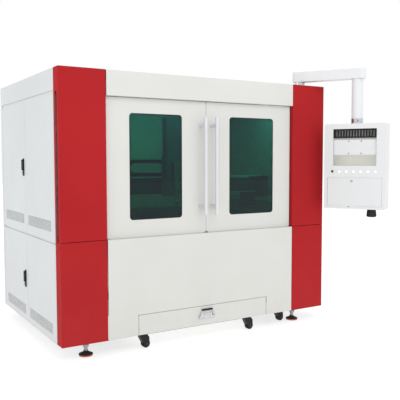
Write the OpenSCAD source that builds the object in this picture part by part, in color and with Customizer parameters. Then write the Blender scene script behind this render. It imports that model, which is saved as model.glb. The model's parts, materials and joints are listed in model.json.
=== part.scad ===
// Enclosed fibre laser cutting machine, in millimetres, +Z up. A folded sheet cabinet stands on
// levelling feet. It holds a gantry over a serrated slat table, a scrap chute and a rolling
// scrap drawer, and it carries an operator console on a swing arm.
// The maker's frame has X = 0 on the left face, Y = 0 on the front plane and Z = 0 on the floor.

/* [Cabinet] */
// Width of the cabinet
cabinet_w = 2320; // [2260:10:2500]
// Depth of the cabinet
cabinet_d = 1540; // [1520:10:1700]
// Height of the cabinet without its feet
cabinet_h = 1880; // [1860:10:2000]
// Floor to the underside of the cabinet
ground_gap = 100; // [96:1:130]
// Thickness of the sheet metal
sheet_t = 2; // [1.5:0.5:3]
// Outer radius of a bend in the sheet
bend_r = 5; // [4:0.5:8]
// Joint line between neighbouring covers
cover_gap = 4; // [2:0.5:6]
// Width of a pillar cover's front face
pillar_w = 335; // [320:5:345]
// Depth of a pillar cover's side
pillar_d = 100; // [90:1:104]
// Height of the header above the doors
header_h = 176; // [160:2:190]
// Height of the joint between upper and lower front covers
split_h = 710; // [706:1:716]
// How far the joint on the pillar's side lies below the front joint
side_joint_drop = 45; // [30:1:60]
// How far the front doors lie behind the front plane
door_recess = 30; // [20:1:34]

/* [Side slot] */
// Width of the long slot in the left pillar's side
side_slot_w = 34; // [20:1:40]
// Length of the side slot
side_slot_h = 1010; // [800:10:1020]
// Front plane to the slot's near edge
side_slot_y = 38; // [30:1:44]

/* [Front doors] */
// Depth of a front door leaf
door_t = 25; // [20:1:26]
// Gap along the hinge edge of a leaf
door_gap = 8; // [7:0.5:10]
// Gap between the two leaves
seam_gap = 5; // [3:0.5:8]
// Gap below a leaf
door_foot_gap = 5; // [4:0.5:8]
// Width of a window
window_w = 427; // [380:1:440]
// Height of a window
window_h = 759; // [600:1:780]
// Corner radius of a window
window_r = 25; // [15:1:40]
// Bottom of a leaf to the window
window_low = 120; // [90:1:140]
// Seam to the middle of a window
window_off = 426; // [400:1:440]
// Thickness of the laser-safe window pane
pane_t = 6; // [4:1:8]
// How far a pane laps behind the leaf
pane_lap = 15; // [10:1:18]
// Hinge axis from the leaf's edge and face
pivot_in = 12; // [12:0.5:13]
// Diameter of a front door's hinge pin
pivot_d = 10; // [8:1:12]

/* [Door handles] */
// Diameter of a handle bar
handle_d = 30; // [24:1:34]
// Length of a handle bar
handle_l = 731; // [600:1:760]
// Bottom of a leaf to the bar's lower end
handle_low = 135; // [100:1:160]
// Seam to the bar
handle_off = 50; // [40:1:60]
// Door face to the bar's centre line
handle_reach = 74; // [60:1:80]
// Diameter of a handle's standoff
standoff_d = 32; // [24:1:36]
// Bar end to the standoff
standoff_in = 58; // [40:1:80]

/* [Side doors] */
// Depth of a side door leaf
leaf_t = 20; // [18:1:22]
// Gap along a side leaf's hinge edge
leaf_gap = 8; // [7:0.5:10]
// Gap where the two leaves meet
leaf_seam = 3; // [2:0.5:5]
// Height of the fascia above the side doors
fascia_h = 150; // [130:2:160]
// Height of the groove below the fascia
groove_h = 21; // [16:1:24]
// Height of the groove between upper and lower side doors
mid_groove_h = 14; // [12:1:18]
// Underside of the cabinet to the middle groove
mid_groove_z = 688; // [680:1:694]
// Underside of the cabinet to the lower side doors
leaf_foot = 15; // [13:1:18]
// Width of a vent field
vent_w = 562; // [480:2:580]
// Height of a vent field
vent_h = 78; // [60:2:90]
// How far the front leaf's vents lie behind its middle
vent_back = 22; // [0:2:24]
// Number of slots in one row of a vent
vent_slots = 20; // [12:1:24]
// Width of the rear corner strip
rear_strip_w = 47; // [40:1:60]
// Diameter of a side door's hinge pin
leaf_pin_d = 8; // [6:1:10]

/* [Swing latches] */
// Width of a latch dish
latch_w = 30; // [26:1:36]
// Height of a latch dish
latch_h = 134; // [120:2:160]
// How far a dish stands off the door
dish_t = 6; // [4:1:8]
// Front edge of the rear leaf to the latch
latch_in = 52; // [40:1:60]
// Underside of the cabinet to the middle of the upper latch
upper_latch_z = 1209; // [1100:1:1300]
// Underside of the cabinet to the middle of the lower latch
lower_latch_z = 337; // [300:1:400]

/* [Frame] */
// Side of a frame tube
tube_w = 60; // [50:2:60]
// Wall of a frame tube
tube_wall = 4; // [3:0.5:5]
// Left face to the outer posts
post_in = 26; // [24:1:28]

/* [Bed and gantry] */
// Side of a bed beam
bed_w = 80; // [70:2:84]
// Underside of the cabinet to the top of the bed beams
bed_z = 940; // [930:1:950]
// Width of a linear rail on the bed
rail_w = 20; // [15:1:25]
// Height of a linear rail
rail_h = 20; // [15:1:24]
// Front plane to the gantry beam's front face at rest
beam_y = 400; // [380:5:460]
// Side of the gantry beam
beam_w = 120; // [110:2:130]
// Wall of the gantry beam
beam_wall = 8; // [5:1:10]
// Left face to the middle of the carriage at rest
carriage_x = 1030; // [1020:5:1100]
// Width of the carriage plate
carriage_w = 140; // [130:2:150]
// Nozzle tip above the underside of the cabinet
nozzle_z = 901; // [895:1:910]
// Height of a cable chain link
link_h = 28; // [24:1:30]
// Width of a cable chain link
link_w = 60; // [50:1:64]
// Bend radius of the cable chain
chain_r = 52; // [48:1:56]
// Length of a link in the straight runs
link_l = 26; // [22:1:30]

/* [Cutting table] */
// Underside of the cabinet to the tips of the slats
table_z = 830; // [815:1:835]
// Spacing of the slats
slat_pitch = 76; // [60:1:77]
// Height of a slat with its teeth
slat_h = 70; // [60:1:72]
// Depth of the teeth
tooth_h = 20; // [12:1:24]
// Spacing of the teeth along a slat
tooth_pitch = 40; // [30:1:60]
// Thickness of a slat
slat_t = 4; // [3:0.5:6]

/* [Scrap drawer] */
// Left face to the drawer's front
drawer_x = 570; // [540:1:600]
// Drawer's front to the right face
drawer_in = 603; // [590:1:650]
// Height of the drawer's front
drawer_h = 145; // [130:1:150]
// Depth of the drawer's tray
drawer_d = 870; // [800:5:880]
// Gap around the drawer's front
drawer_gap = 3; // [2:0.5:4]
// Wall of the tray
tray_t = 3; // [2:0.5:4]
// Length of the handle's plate
pull_w = 138; // [120:1:160]
// Height of the handle's plate
pull_h = 40; // [34:1:46]
// Underside of the cabinet to the handle's plate
pull_z = 50; // [44:1:54]

/* [Feet and casters] */
// Diameter of a foot's disc
foot_d = 100; // [90:1:110]
// Diameter of a foot's screw
foot_screw_d = 16; // [14:1:20]
// Diameter of a caster's wheel
wheel_d = 60; // [50:1:64]
// Width of a caster's wheel
wheel_w = 32; // [26:1:34]
// Swivel axis to the wheel's axle
trail = 28; // [22:1:30]

/* [Console arm] */
// Arm's base to the right face
arm_in = 165; // [155:1:170]
// Front plane to the arm's base
arm_y = 120; // [115:1:130]
// Turn of the arm from +X at rest
arm_turn = -59; // [-62:1:-56]
// Distance between the arm's two axes
arm_l = 491; // [485:1:520]
// Width of the arm
arm_w = 100; // [96:1:110]
// Height of the arm
arm_h = 80; // [70:1:90]
// Diameter of the base coupling
coupling_d = 87; // [80:1:95]
// Height of the base coupling
coupling_h = 40; // [30:1:50]
// Outer diameter of the drop tube
drop_d = 91; // [80:1:95]
// Wall of the drop tube
drop_wall = 4; // [3:0.5:6]

/* [Console] */
// Width of the console
console_w = 496; // [490:2:520]
// Height of the console
console_h = 694; // [690:2:720]
// Depth of the console
console_d = 146; // [140:2:160]
// Cabinet's top to the console's top
console_drop = 325; // [320:1:350]
// Corner radius of the console's face
console_r = 14; // [8:1:20]
// Width of the monitor recess
recess_w = 350; // [340:1:370]
// Height of the monitor recess
recess_h = 298; // [296:1:305]
// Console's top to the recess
recess_top = 42; // [36:1:46]
// Height of the monitor bar
bar_h = 122; // [116:1:126]
// Spacing of the monitor's four holes
monitor_pitch = 100; // [75:25:100]
// Diameter of a push-button hole
button_d = 22; // [16:1:22]
// Number of push-button holes
button_n = 7; // [3:1:7]
// Width of the keyboard flap
flap_w = 440; // [430:1:450]
// Height of the keyboard flap
flap_h = 230; // [220:1:232]

/* [Exhaust] */
// Outer diameter of the exhaust spigot
spigot_d = 200; // [150:10:220]
// Length of the spigot
spigot_l = 60; // [40:5:80]

/* [Hidden] */
$fn = 48;

WHITE = [0.89, 0.89, 0.87];
SIDE_WHITE = [0.88, 0.9, 0.9];
RED = [0.72, 0.14, 0.15];
STEEL = [0.6, 0.62, 0.64];
CHROME = [0.8, 0.81, 0.83];
ALUMINIUM = [0.82, 0.83, 0.85];
GRAPHITE = [0.2, 0.21, 0.22];
BLACK = [0.07, 0.07, 0.08];
GALVANISED = [0.62, 0.65, 0.64];
ORANGE = [0.85, 0.38, 0.16];
DARK_GLASS = [0.06, 0.2, 0.14, 0.8];

// Clearances
weld = 0.5;         // between tubes that meet in the frame
seat = 0.3;         // between pieces that rest on each other
running = 0.08;     // radial clearance of a pin in its bore
through = 1;        // how far a cut runs past a face

// Heights above the floor
foot_z = ground_gap;
top_z = ground_gap + cabinet_h;
split_z = ground_gap + split_h;
header_z = top_z - header_h;
roof_z = top_z - 2 * sheet_t - seat;
mid_x = cabinet_w / 2;

// Front door leaves
opening_w = cabinet_w - 2 * pillar_w;
leaf_w = (opening_w - 2 * door_gap - seam_gap) / 2;
leaf_z = split_z + door_foot_gap;
leaf_h = header_z - cover_gap - leaf_z;
leaf_x = pillar_w + door_gap;
bar_y = door_recess - handle_reach;
bar_z = leaf_z + handle_low;

// Side door leaves
side_y0 = pillar_d + leaf_gap;
side_y1 = cabinet_d - rear_strip_w - leaf_gap;
side_w = (side_y1 - side_y0 - leaf_seam) / 2;
upper_z0 = foot_z + mid_groove_z + mid_groove_h;
upper_z1 = top_z - fascia_h - groove_h;
lower_z0 = foot_z + leaf_foot;
lower_z1 = foot_z + mid_groove_z;
upper_vent = 65;
lower_vent = 32;
leaf_pin_in = leaf_t / 2;
rear_leaf_front = side_y1 - side_w;
latch_y = rear_leaf_front + latch_in;

// Frame
post_front = 60;
trim_d = post_in - seat;
post_rear = cabinet_d - 16 - tube_w;
outer_x = post_in;
inner_x = pillar_w + 9 - tube_w;
wall_x = inner_x + tube_w + weld;
rail_z = foot_z + 640;
cross_rear = post_rear - 84;
tab_t = 4;

// Bed and gantry
bed_x = inner_x + tube_w + cover_gap;
bed_top = foot_z + bed_z;
bed_rail_x = bed_x + 30;
rail_top = bed_top + rail_h;
truck_l = 220;
truck_t = 20;
truck_base_w = 72;
skirt_t = 18;
skirt_in = 40;
skirt_drop = 42;
beam_z = rail_top + 25;
beam_x0 = bed_x + 24;
beam_l = cabinet_w - 2 * beam_x0;
guide_w = 15;
guide_z = [beam_z + 25, beam_z + beam_w - 40];
plate_t = 10;
plate_rise = 60;
block_l = 50;
bracket_w = 90;
z_box_h = 595;
drive_w = 84;
drive_d = 74;
drive_h = 155;
plate_y = beam_y - guide_w - cover_gap - plate_t;
tray_h = 29;
chain_y = beam_y + beam_w / 2 - link_w / 2;
chain_z0 = beam_z + beam_w + tray_h;
chain_end = carriage_x - 50;
chain_bend_x = chain_end - 224;
chain_fixed_x = mid_x;
z_box_w = 130;
z_box_d = 71;
z_box_y = plate_y - z_box_d;
head_y = z_box_y - 38;

// Table, chute and drawer
drawer_w = cabinet_w - drawer_x - drawer_in;
pull_x = drawer_x + (drawer_w - pull_w - 1) / 2;
member_h = 40;
comb_t = 6;
comb_y = [176, 1178];
comb_z0 = foot_z + 740;
slat_z1 = foot_z + table_z;
slat_z0 = slat_z1 - slat_h;
slat_y0 = comb_y[0] - 16;
tooth_n = floor((comb_y[1] - comb_y[0] + 38) / tooth_pitch);
slat_l = tooth_n * tooth_pitch;
side_member_x = 470;
comb_x0 = side_member_x + tube_w + weld;
comb_l = cabinet_w - 2 * comb_x0;
slat_n = floor((comb_l - slat_t) / slat_pitch) + 1;
chute_top = foot_z + 690;
chute_foot = foot_z + 165;
chute_t = 3;
chute_mouth = 640;
chute_back = 860;
drawer_z = foot_z + drawer_gap;
tray_z = foot_z + 8;
tray_in = 20;
tray_h_full = 132;
pull_t = 3;
bail_y = -9;
bail_z = foot_z + pull_z + pull_h / 2;
grip_z = bail_z + 50;
grip_w = 92;

// Casters
caster_plate_t = 5;
caster_w = 46;
wheel_lift = 1;
axle_z = wheel_lift + wheel_d / 2;
drawer_caster_y = 26;
left_caster_x = drawer_x + 34;
middle_caster_x = drawer_x + drawer_w - 184;
right_caster_x = cabinet_w - 409;
right_caster_y = 106;

// Feet
foot_spots = [
    [195, post_front + 18], [cabinet_w - 270, post_front + 16],
    [195, post_rear + 30], [cabinet_w - 195, post_rear + 30]
];

// Console
arm_x = cabinet_w - arm_in;
arm_z = top_z + coupling_h;
case_z1 = top_z - console_drop;
case_z0 = case_z1 - console_h;
collar_h = 42;
face_y = -console_d / 2;
recess_z1 = case_z1 - recess_top;
recess_z0 = recess_z1 - recess_h;
grille_h = 73;
bar_z1 = recess_z1 - grille_h - 15;
bar_set_back = 12;
shelf_z = recess_z0 - 5;
button_z = case_z1 - 388;
button_pitch = 58;
button_shift = -6;
desk_z1 = case_z1 - 432;
flap_z1 = case_z1 - 440;
flap_z0 = flap_z1 - flap_h;
flap_gap = 3;
flap_t = 10;
flap_pivot = 6;
flap_pin_r = 2.5;
lock_z = flap_z1 - 25;
lock_x = -20;
lock_r = 8;
grip_x = 128;

// How far the whole machine reaches, for its origin at the bottom centre
reach_left = -dish_t - 11;
console_cx = arm_x + arm_l * cos(arm_turn);
console_cy = arm_y + arm_l * sin(arm_turn);
reach_right = console_cx + console_w / 2 * cos(arm_turn) - console_d / 2 * sin(arm_turn);
reach_front = console_cy + console_w / 2 * sin(arm_turn) - console_d / 2 * cos(arm_turn);
reach_back = cabinet_d + spigot_l;
origin_x = (reach_left + reach_right) / 2;
origin_y = (reach_front + reach_back) / 2;

// Placing

module centred() {
    translate([-origin_x, -origin_y, 0]) children();
}

module both_sides() {
    children();
    translate([cabinet_w, 0, 0]) mirror([1, 0, 0]) children();
}

// A face that looks left, right or back, drawn as if it looked to the front
module on_left(y_back, z) {
    translate([0, y_back, z]) rotate([0, 0, -90]) children();
}

module on_right(y_front, z) {
    translate([cabinet_w, y_front, z]) rotate([0, 0, 90]) children();
}

module on_back(x_right, z) {
    translate([x_right, cabinet_d, z]) rotate([0, 0, 180]) children();
}

module on_arm() {
    translate([arm_x, arm_y, 0]) rotate([0, 0, arm_turn]) children();
}

module on_console() {
    on_arm() translate([arm_l, 0, 0]) children();
}

// Shared forms

// An outline with its two front corners rounded
module rounded_front(w, d, r) {
    translate([r, 0]) square([w - 2 * r, d]);
    translate([0, r]) square([w, d - r]);
    for (x = [r, w - r]) translate([x, r]) circle(r);
}

module rounded_rect(w, h, r) {
    translate([r, 0]) square([w - 2 * r, h]);
    translate([0, r]) square([w, h - 2 * r]);
    for (x = [r, w - r]) for (y = [r, h - r]) translate([x, y]) circle(r);
}

// A sheet folded back at its left and right edges, seen from above
module folded(w, left_d, right_d) {
    d = max(left_d, right_d);
    difference() {
        rounded_front(w, d, bend_r);
        translate([sheet_t, sheet_t]) rounded_front(w - 2 * sheet_t, d, bend_r - sheet_t);
        if (left_d < d) translate([-through, left_d]) square([w / 2, d]);
        if (right_d < d) translate([w / 2, right_d]) square([w, d]);
    }
}

// A sheet folded back at all four edges
module pan(w, h, d) {
    difference() {
        linear_extrude(h) rounded_front(w, d, bend_r);
        translate([sheet_t, sheet_t, sheet_t])
            linear_extrude(h - 2 * sheet_t) rounded_front(w - 2 * sheet_t, d, bend_r - sheet_t);
    }
}

// A plate that stands across the depth, drawn as an outline in X and Z
module upright(t) {
    rotate([90, 0, 0]) translate([0, 0, -t]) linear_extrude(t) children();
}

module tube_x(l, w, wall) {
    difference() {
        cube([l, w, w]);
        translate([-through, wall, wall]) cube([l + 2 * through, w - 2 * wall, w - 2 * wall]);
    }
}

module tube_y(l, w, wall) {
    translate([w, 0, 0]) rotate([0, 0, 90]) tube_x(l, w, wall);
}

module tube_z(l, w, wall) {
    difference() {
        cube([w, w, l]);
        translate([wall, wall, -through]) cube([w - 2 * wall, w - 2 * wall, l + 2 * through]);
    }
}

// A round rod between two points
module rod(from, to, r) {
    step = to - from;
    l = norm(step);
    translate(from) rotate([0, acos(step.z / l), atan2(step.y, step.x)]) cylinder(h = l, r = r);
}

// Frame

module frame_side() {
    span = post_rear - post_front - tube_w - 2 * weld;
    rail_y = post_front + tube_w + weld;
    for (x = [outer_x, inner_x]) for (y = [post_front, post_rear])
        translate([x, y, foot_z]) tube_z(roof_z - foot_z, tube_w, tube_wall);
    groove_rail = upper_z1 - 18;
    for (z = [foot_z, lower_z1 - 23, groove_rail])
        translate([outer_x, rail_y, z]) tube_y(span, tube_w, tube_wall);
    for (z = [foot_z, rail_z, roof_z - tube_w])
        translate([inner_x, rail_y, z]) tube_y(span, tube_w, tube_wall);
    for (y = [post_front, post_rear]) for (z = [foot_z, rail_z, roof_z - tube_w])
        translate([outer_x + tube_w + weld, y, z])
            tube_x(inner_x - outer_x - tube_w - 2 * weld, tube_w, tube_wall);
}

module cross_rails() {
    x0 = inner_x + tube_w + weld;
    l = cabinet_w - 2 * x0;
    for (z = [rail_z, roof_z - tube_w]) translate([x0, post_front, z]) tube_x(l, tube_w, tube_wall);
    for (z = [foot_z, rail_z, roof_z - tube_w])
        translate([x0, post_rear, z]) tube_x(l, tube_w, tube_wall);
    translate([x0, cross_rear, rail_z]) tube_x(l, tube_w, tube_wall);
}

module frame_tubes() {
    color(GRAPHITE) centred() {
        both_sides() frame_side();
        cross_rails();
        caster_bracket();
    }
}

// The bracket and king pin of the caster on the frame
module caster_bracket() {
    right_post = cabinet_w - inner_x;
    translate([right_caster_x - 32, right_caster_y - 30, foot_z - weld - caster_plate_t])
        cube([right_post - 25 - right_caster_x + 32, 60, caster_plate_t]);
    king_pin(right_caster_x, right_caster_y, foot_z - weld - caster_plate_t);
}

module roof_panel() {
    side = post_in + 1;
    front = bend_r + 1;
    color(WHITE) centred()
        translate([side, front, roof_z])
            cube([cabinet_w - 2 * side, cabinet_d - 16 - front, sheet_t]);
}

// Covers

module upper_pillar_covers() {
    color(RED) centred() {
        difference() {
            upper_pillar();
            slot_z = split_z - 3;
            translate([-through, side_slot_y, slot_z])
                cube([sheet_t + 2 * through, side_slot_w, side_slot_h]);
        }
        translate([cabinet_w, 0, 0]) mirror([1, 0, 0]) upper_pillar();
    }
}

// The side of the upper cover reaches lower than its face
module upper_pillar() {
    face_z = split_z + cover_gap / 2;
    difference() {
        translate([0, 0, face_z])
            linear_extrude(top_z - face_z) folded(pillar_w, pillar_d, jamb_d());
        translate([pillar_w - bend_r - 1, bend_r, roof_z - 1])
            cube([bend_r + 2, jamb_d(), top_z - roof_z + 2]);
    }
    translate([sheet_t, sheet_t, top_z - sheet_t])
        cube([pillar_w - 2 * sheet_t, 30, sheet_t]);
    translate([sheet_t, sheet_t, top_z - sheet_t])
        cube([post_in - sheet_t, pillar_d - 2 * sheet_t, sheet_t]);
    side_z = split_z - side_joint_drop;
    translate([0, side_lap() + cover_gap / 2, side_z])
        cube([sheet_t, pillar_d - side_lap() - cover_gap / 2, face_z - side_z + through]);
}

function jamb_d() = post_front - seat;
function side_lap() = 10;

module lower_pillar() {
    face_z = split_z - cover_gap / 2;
    difference() {
        translate([0, 0, foot_z])
            linear_extrude(face_z - foot_z) folded(pillar_w, pillar_d, jamb_d());
        translate([-through, side_lap(), split_z - side_joint_drop - cover_gap / 2])
            cube([bend_r + through, pillar_d, side_joint_drop + through]);
    }
}

module lower_pillar_covers() {
    color(RED) centred() both_sides() lower_pillar();
}

// A cover folded back at its top and bottom, as wide as the front between the pillars
module front_cover(z0, z1, bottom_d, top_d) {
    w = opening_w - 2 * cover_gap;
    translate([pillar_w + cover_gap + w, 0, z0]) rotate([0, -90, 0]) linear_extrude(w)
        folded(z1 - z0, bottom_d, top_d);
}

module front_header() {
    color(WHITE) centred() front_cover(header_z, top_z, jamb_d(), 30);
}

module front_lower_panel() {
    color(WHITE) centred() difference() {
        front_cover(foot_z, split_z - sheet_t, 15, jamb_d());
        translate([drawer_x - drawer_gap, -through, foot_z - through])
            cube([drawer_w + 2 * drawer_gap, 40, drawer_h + 2 * drawer_gap + through]);
    }
}

// The fascia, rear strip and sill round the left side doors
module side_trims() {
    y0 = pillar_d + sheet_t;
    l = cabinet_d - y0;
    on_left(cabinet_d, top_z - fascia_h) pan(l, fascia_h, trim_d);
    translate([0, 0, foot_z]) on_left(cabinet_d, 0)
        linear_extrude(cabinet_h - fascia_h - seat) folded(rear_strip_w, trim_d, trim_d);
    sill_l = side_y1 + leaf_gap - 1 - y0;
    translate([0, y0, foot_z]) cube([trim_d, sill_l, sheet_t]);
}

module left_side_trims() {
    color(SIDE_WHITE) centred() side_trims();
}

// The right side has the same lines, but its four panels are screwed on
module right_side_panels() {
    color(SIDE_WHITE) centred() {
        translate([cabinet_w, 0, 0]) mirror([1, 0, 0]) side_trims();
        for (y = [side_y0, rear_leaf_front]) {
            on_right(y, lower_z0) pan(side_w, lower_z1 - lower_z0, trim_d);
            on_right(y, upper_z0) pan(side_w, upper_z1 - upper_z0, trim_d);
        }
    }
}

module rear_panels() {
    bay_w = inner_x + tube_w / 2 - post_in;
    centre_w = cabinet_w - 2 * (bay_w + post_in) - 2 * cover_gap;
    rear_t = cabinet_d - post_rear - tube_w - seat;
    color(WHITE) centred() {
        for (x = [post_in + bay_w, cabinet_w - post_in - 1])
            on_back(x, foot_z + 1) pan(bay_w - 1, cabinet_h - 1, rear_t);
        centre_x = post_in + bay_w + cover_gap + centre_w;
        on_back(centre_x, split_z + 2) difference() {
            pan(centre_w, top_z - split_z - 2, rear_t);
            rear_louvres(centre_w, top_z - split_z - 470);
        }
        on_back(centre_x, foot_z + 1) difference() {
            pan(centre_w, split_z - foot_z - 3, rear_t);
            translate([centre_w / 2, -through, spigot_height() - foot_z - 1]) rotate([-90, 0, 0])
                cylinder(h = 2 * sheet_t + 2 * through, r = spigot_d / 2 - 4);
        }
    }
}

function spigot_height() = foot_z + 330;

module rear_louvres(w, z) {
    slot_w = 120;
    slot_h = 10;
    for (column = [-1, 1]) for (row = [0:7])
        translate([w / 2 + column * 380 - slot_w / 2, -through, z + row * 32])
            cube([slot_w, sheet_t + 2 * through, slot_h]);
}

module exhaust_spigot() {
    flange_r = spigot_d / 2 + 25;
    color(GALVANISED) centred() translate([mid_x, cabinet_d, spigot_height()]) rotate([-90, 0, 0])
        difference() {
            union() {
                cylinder(h = sheet_t, r = flange_r);
                cylinder(h = spigot_l, r = spigot_d / 2);
            }
            translate([0, 0, -through])
                cylinder(h = spigot_l + 2 * through, r = spigot_d / 2 - sheet_t);
        }
}

// Walls of the work chamber and floors of the two equipment bays
module inner_panels() {
    wall_y0 = post_front + tube_w + 1;
    wall_y1 = post_rear - sheet_t - seat;
    wall_z0 = split_z + 2;
    wall_h = roof_z - 20 - wall_z0;
    ceiling_x = wall_x + sheet_t + seat;
    floor_x = outer_x + 1;
    color(GALVANISED) centred() {
        both_sides() {
            translate([wall_x, wall_y0, wall_z0]) cube([sheet_t, wall_y1 - wall_y0 - seat, wall_h]);
            translate([floor_x, wall_y0, foot_z + tube_w])
                cube([inner_x + tube_w - floor_x - 1, post_rear - wall_y0 - 1, sheet_t]);
        }
        translate([wall_x, wall_y1, wall_z0]) cube([cabinet_w - 2 * wall_x, sheet_t, wall_h]);
        translate([ceiling_x, post_front, roof_z - tube_w - sheet_t - seat])
            cube([cabinet_w - 2 * ceiling_x, wall_y1 - seat - post_front, sheet_t]);
    }
}

// Hinges of the front and side doors

module front_hinge_pins() {
    l = door_foot_gap + 8;
    x = leaf_x + pivot_in;
    y = door_recess + pivot_in;
    translate([x, y, split_z - sheet_t]) cylinder(h = l + sheet_t, r = pivot_d / 2);
    translate([x, y, leaf_z + leaf_h - 6]) cylinder(h = cover_gap + 6, r = pivot_d / 2);
}

// A tab on the frame with a pin for the leaf above, below, or both
module leaf_hinge(y, z, up, down) {
    translate([leaf_pin_in - 6, y - 9, z])
        cube([outer_x - seat - leaf_pin_in + 6, 18, tab_t]);
    translate([leaf_pin_in, y, z - down]) cylinder(h = tab_t + up + down, r = leaf_pin_d / 2);
}

module door_hinges() {
    pin = 9;
    color(STEEL) centred() {
        both_sides() front_hinge_pins();
        for (y = [side_y0 + leaf_pin_in, side_y1 - leaf_pin_in]) {
            leaf_hinge(y, lower_z0 - 8, 4 + pin, 0);
            leaf_hinge(y, lower_z1 + (mid_groove_h - tab_t) / 2, pin, pin);
            leaf_hinge(y, upper_z1 + 5, 0, pin);
        }
    }
}

// Front doors, drawn as the left one

module front_leaf() {
    window_x = mid_x - window_off - window_w / 2 - leaf_x;
    translate([leaf_x, door_recess, leaf_z]) difference() {
        pan(leaf_w, leaf_h, door_t);
        translate([window_x, -through, window_low])
            upright(sheet_t + 2 * through) rounded_rect(window_w, window_h, window_r);
        translate([pivot_in, pivot_in, -through])
            cylinder(h = leaf_h + 2 * through, r = pivot_d / 2 + running);
    }
}

module window_pane() {
    x = mid_x - window_off - window_w / 2 - pane_lap;
    translate([x, door_recess + sheet_t, leaf_z + window_low - pane_lap])
        upright(pane_t)
            rounded_rect(window_w + 2 * pane_lap, window_h + 2 * pane_lap, window_r + pane_lap);
}

module bar_handle() {
    x = mid_x - handle_off;
    translate([x, bar_y, bar_z]) {
        cylinder(h = handle_l, r = handle_d / 2);
        for (z = [standoff_in, handle_l - standoff_in])
            translate([0, 0, z]) rotate([-90, 0, 0]) cylinder(h = handle_reach, r = standoff_d / 2);
    }
}

module left_front_door() { color(WHITE) centred() front_leaf(); }
module left_window() { color(DARK_GLASS) centred() window_pane(); }
module left_door_handle() { color(ALUMINIUM) centred() bar_handle(); }
module right_side() { translate([cabinet_w, 0, 0]) mirror([1, 0, 0]) children(); }
module right_front_door() { color(WHITE) centred() right_side() front_leaf(); }
module right_window() { color(DARK_GLASS) centred() right_side() window_pane(); }
module right_door_handle() { color(ALUMINIUM) centred() right_side() bar_handle(); }

// Side doors

// A field of two rows of slots
module vent_field() {
    pitch = vent_w / vent_slots;
    slot_w = pitch * 0.5;
    row_h = vent_h / 2;
    for (i = [0:vent_slots - 1]) for (row = [0, 1])
        translate([i * pitch + (pitch - slot_w) / 2, -through, row * row_h + 4])
            cube([slot_w, sheet_t + 2 * through, row_h - 8]);
}

// The pin's hole lies at the leaf's left or right edge, seen from outside
module side_leaf(h, vent_z, pin_x, back) {
    difference() {
        pan(side_w, h, leaf_t);
        translate([(side_w - vent_w) / 2 - back, 0, vent_z]) vent_field();
        translate([pin_x, leaf_pin_in, -through])
            cylinder(h = h + 2 * through, r = leaf_pin_d / 2 + running);
    }
}

module upper_leaf(y_back, pin_x, back) {
    on_left(y_back, upper_z0) side_leaf(upper_z1 - upper_z0, upper_vent, pin_x, back);
}

module lower_leaf(y_back, pin_x, back) {
    on_left(y_back, lower_z0) side_leaf(lower_z1 - lower_z0, lower_vent, pin_x, back);
}

front_pin_x = side_w - leaf_pin_in;
front_leaf_back = side_y0 + side_w;
module upper_rear_door() { color(SIDE_WHITE) centred() upper_leaf(side_y1, leaf_pin_in, 0); }
module upper_front_door() { color(SIDE_WHITE) centred() upper_leaf(front_leaf_back, front_pin_x, vent_back); }
module lower_rear_door() { color(SIDE_WHITE) centred() lower_leaf(side_y1, leaf_pin_in, 0); }
module lower_front_door() { color(SIDE_WHITE) centred() lower_leaf(front_leaf_back, front_pin_x, vent_back); }

// Swing latches: a shallow dish with a lever hinged at its top and a lock cylinder below

lever_l = 86;
lever_w = 18;
lever_t = 8;
latch_pin_r = 2.5;
latch_rim = 4;

module latch_dish(z) {
    translate([-seat, latch_y, foot_z + z]) rotate([0, 0, -90])
        translate([-latch_w / 2, -dish_t, -latch_h / 2]) difference() {
            upright(dish_t) rounded_rect(latch_w, latch_h, latch_w / 2 - 1);
            translate([latch_w / 2 - lever_w / 2 - 1, -through, latch_h - lever_l - 9])
                cube([lever_w + 2, dish_t - 2 + through, lever_l + 2]);
        }
    // Two ears carry the lever's pin, and the lock cylinder stands below the lever
    for (side = [-1, 1])
        translate([-dish_t - seat - 6, latch_y + side * (lever_w / 2 + 2.5) - 1.5, lever_top(z) - 10])
            difference() {
                cube([6.5, 3, 8]);
                translate([3, -through, 4]) rotate([-90, 0, 0])
                    cylinder(h = 3 + 2 * through, r = latch_pin_r + running);
            }
    translate([-dish_t - seat - 8, latch_y, foot_z + z - latch_h / 2 + 19]) rotate([0, 90, 0])
        cylinder(h = 8 + 1, r = 10);
}

function lever_top(z) = foot_z + z + latch_h / 2 - 7;

module latch_lever(z) {
    pin_z = lever_top(z) - 6;
    pin_x = -dish_t - seat - 3;
    translate([pin_x, latch_y - lever_w / 2 - 4, pin_z]) rotate([-90, 0, 0])
        cylinder(h = lever_w + 8, r = latch_pin_r);
    translate([-dish_t - 11, latch_y - lever_w / 2, pin_z - lever_l + 8]) difference() {
        cube([lever_t + 4, lever_w, lever_l - 4]);
        translate([4, -through, 6]) cube([lever_t + 4, lever_w + 2 * through, lever_l - 24]);
    }
}

module upper_latch_dish() { color(BLACK) centred() latch_dish(upper_latch_z); }
module upper_latch_lever() { color(GRAPHITE) centred() latch_lever(upper_latch_z); }
module lower_latch_dish() { color(BLACK) centred() latch_dish(lower_latch_z); }
module lower_latch_lever() { color(GRAPHITE) centred() latch_lever(lower_latch_z); }

// Bed, rails and gantry

module bed_beams() {
    leg_h = bed_top - bed_w - rail_z - tube_w;
    color(STEEL) centred() both_sides() {
        translate([bed_x, post_front, bed_top - bed_w])
            tube_y(cross_rear + tube_w - post_front, bed_w, tube_wall);
        for (y = [post_front, cross_rear])
            translate([bed_x, y, rail_z + tube_w + seat]) cube([bed_w, tube_w, leg_h - 2 * seat]);
    }
}

// Outline of a toothed bar along Y, with straight-sided teeth
function rack_points(n, pitch, root, tip) = [
    for (i = [0:n - 1]) each [
        [i * pitch, root], [(i + 0.25) * pitch, tip], [(i + 0.5) * pitch, tip], [(i + 0.75) * pitch, root]
    ]
];

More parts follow.
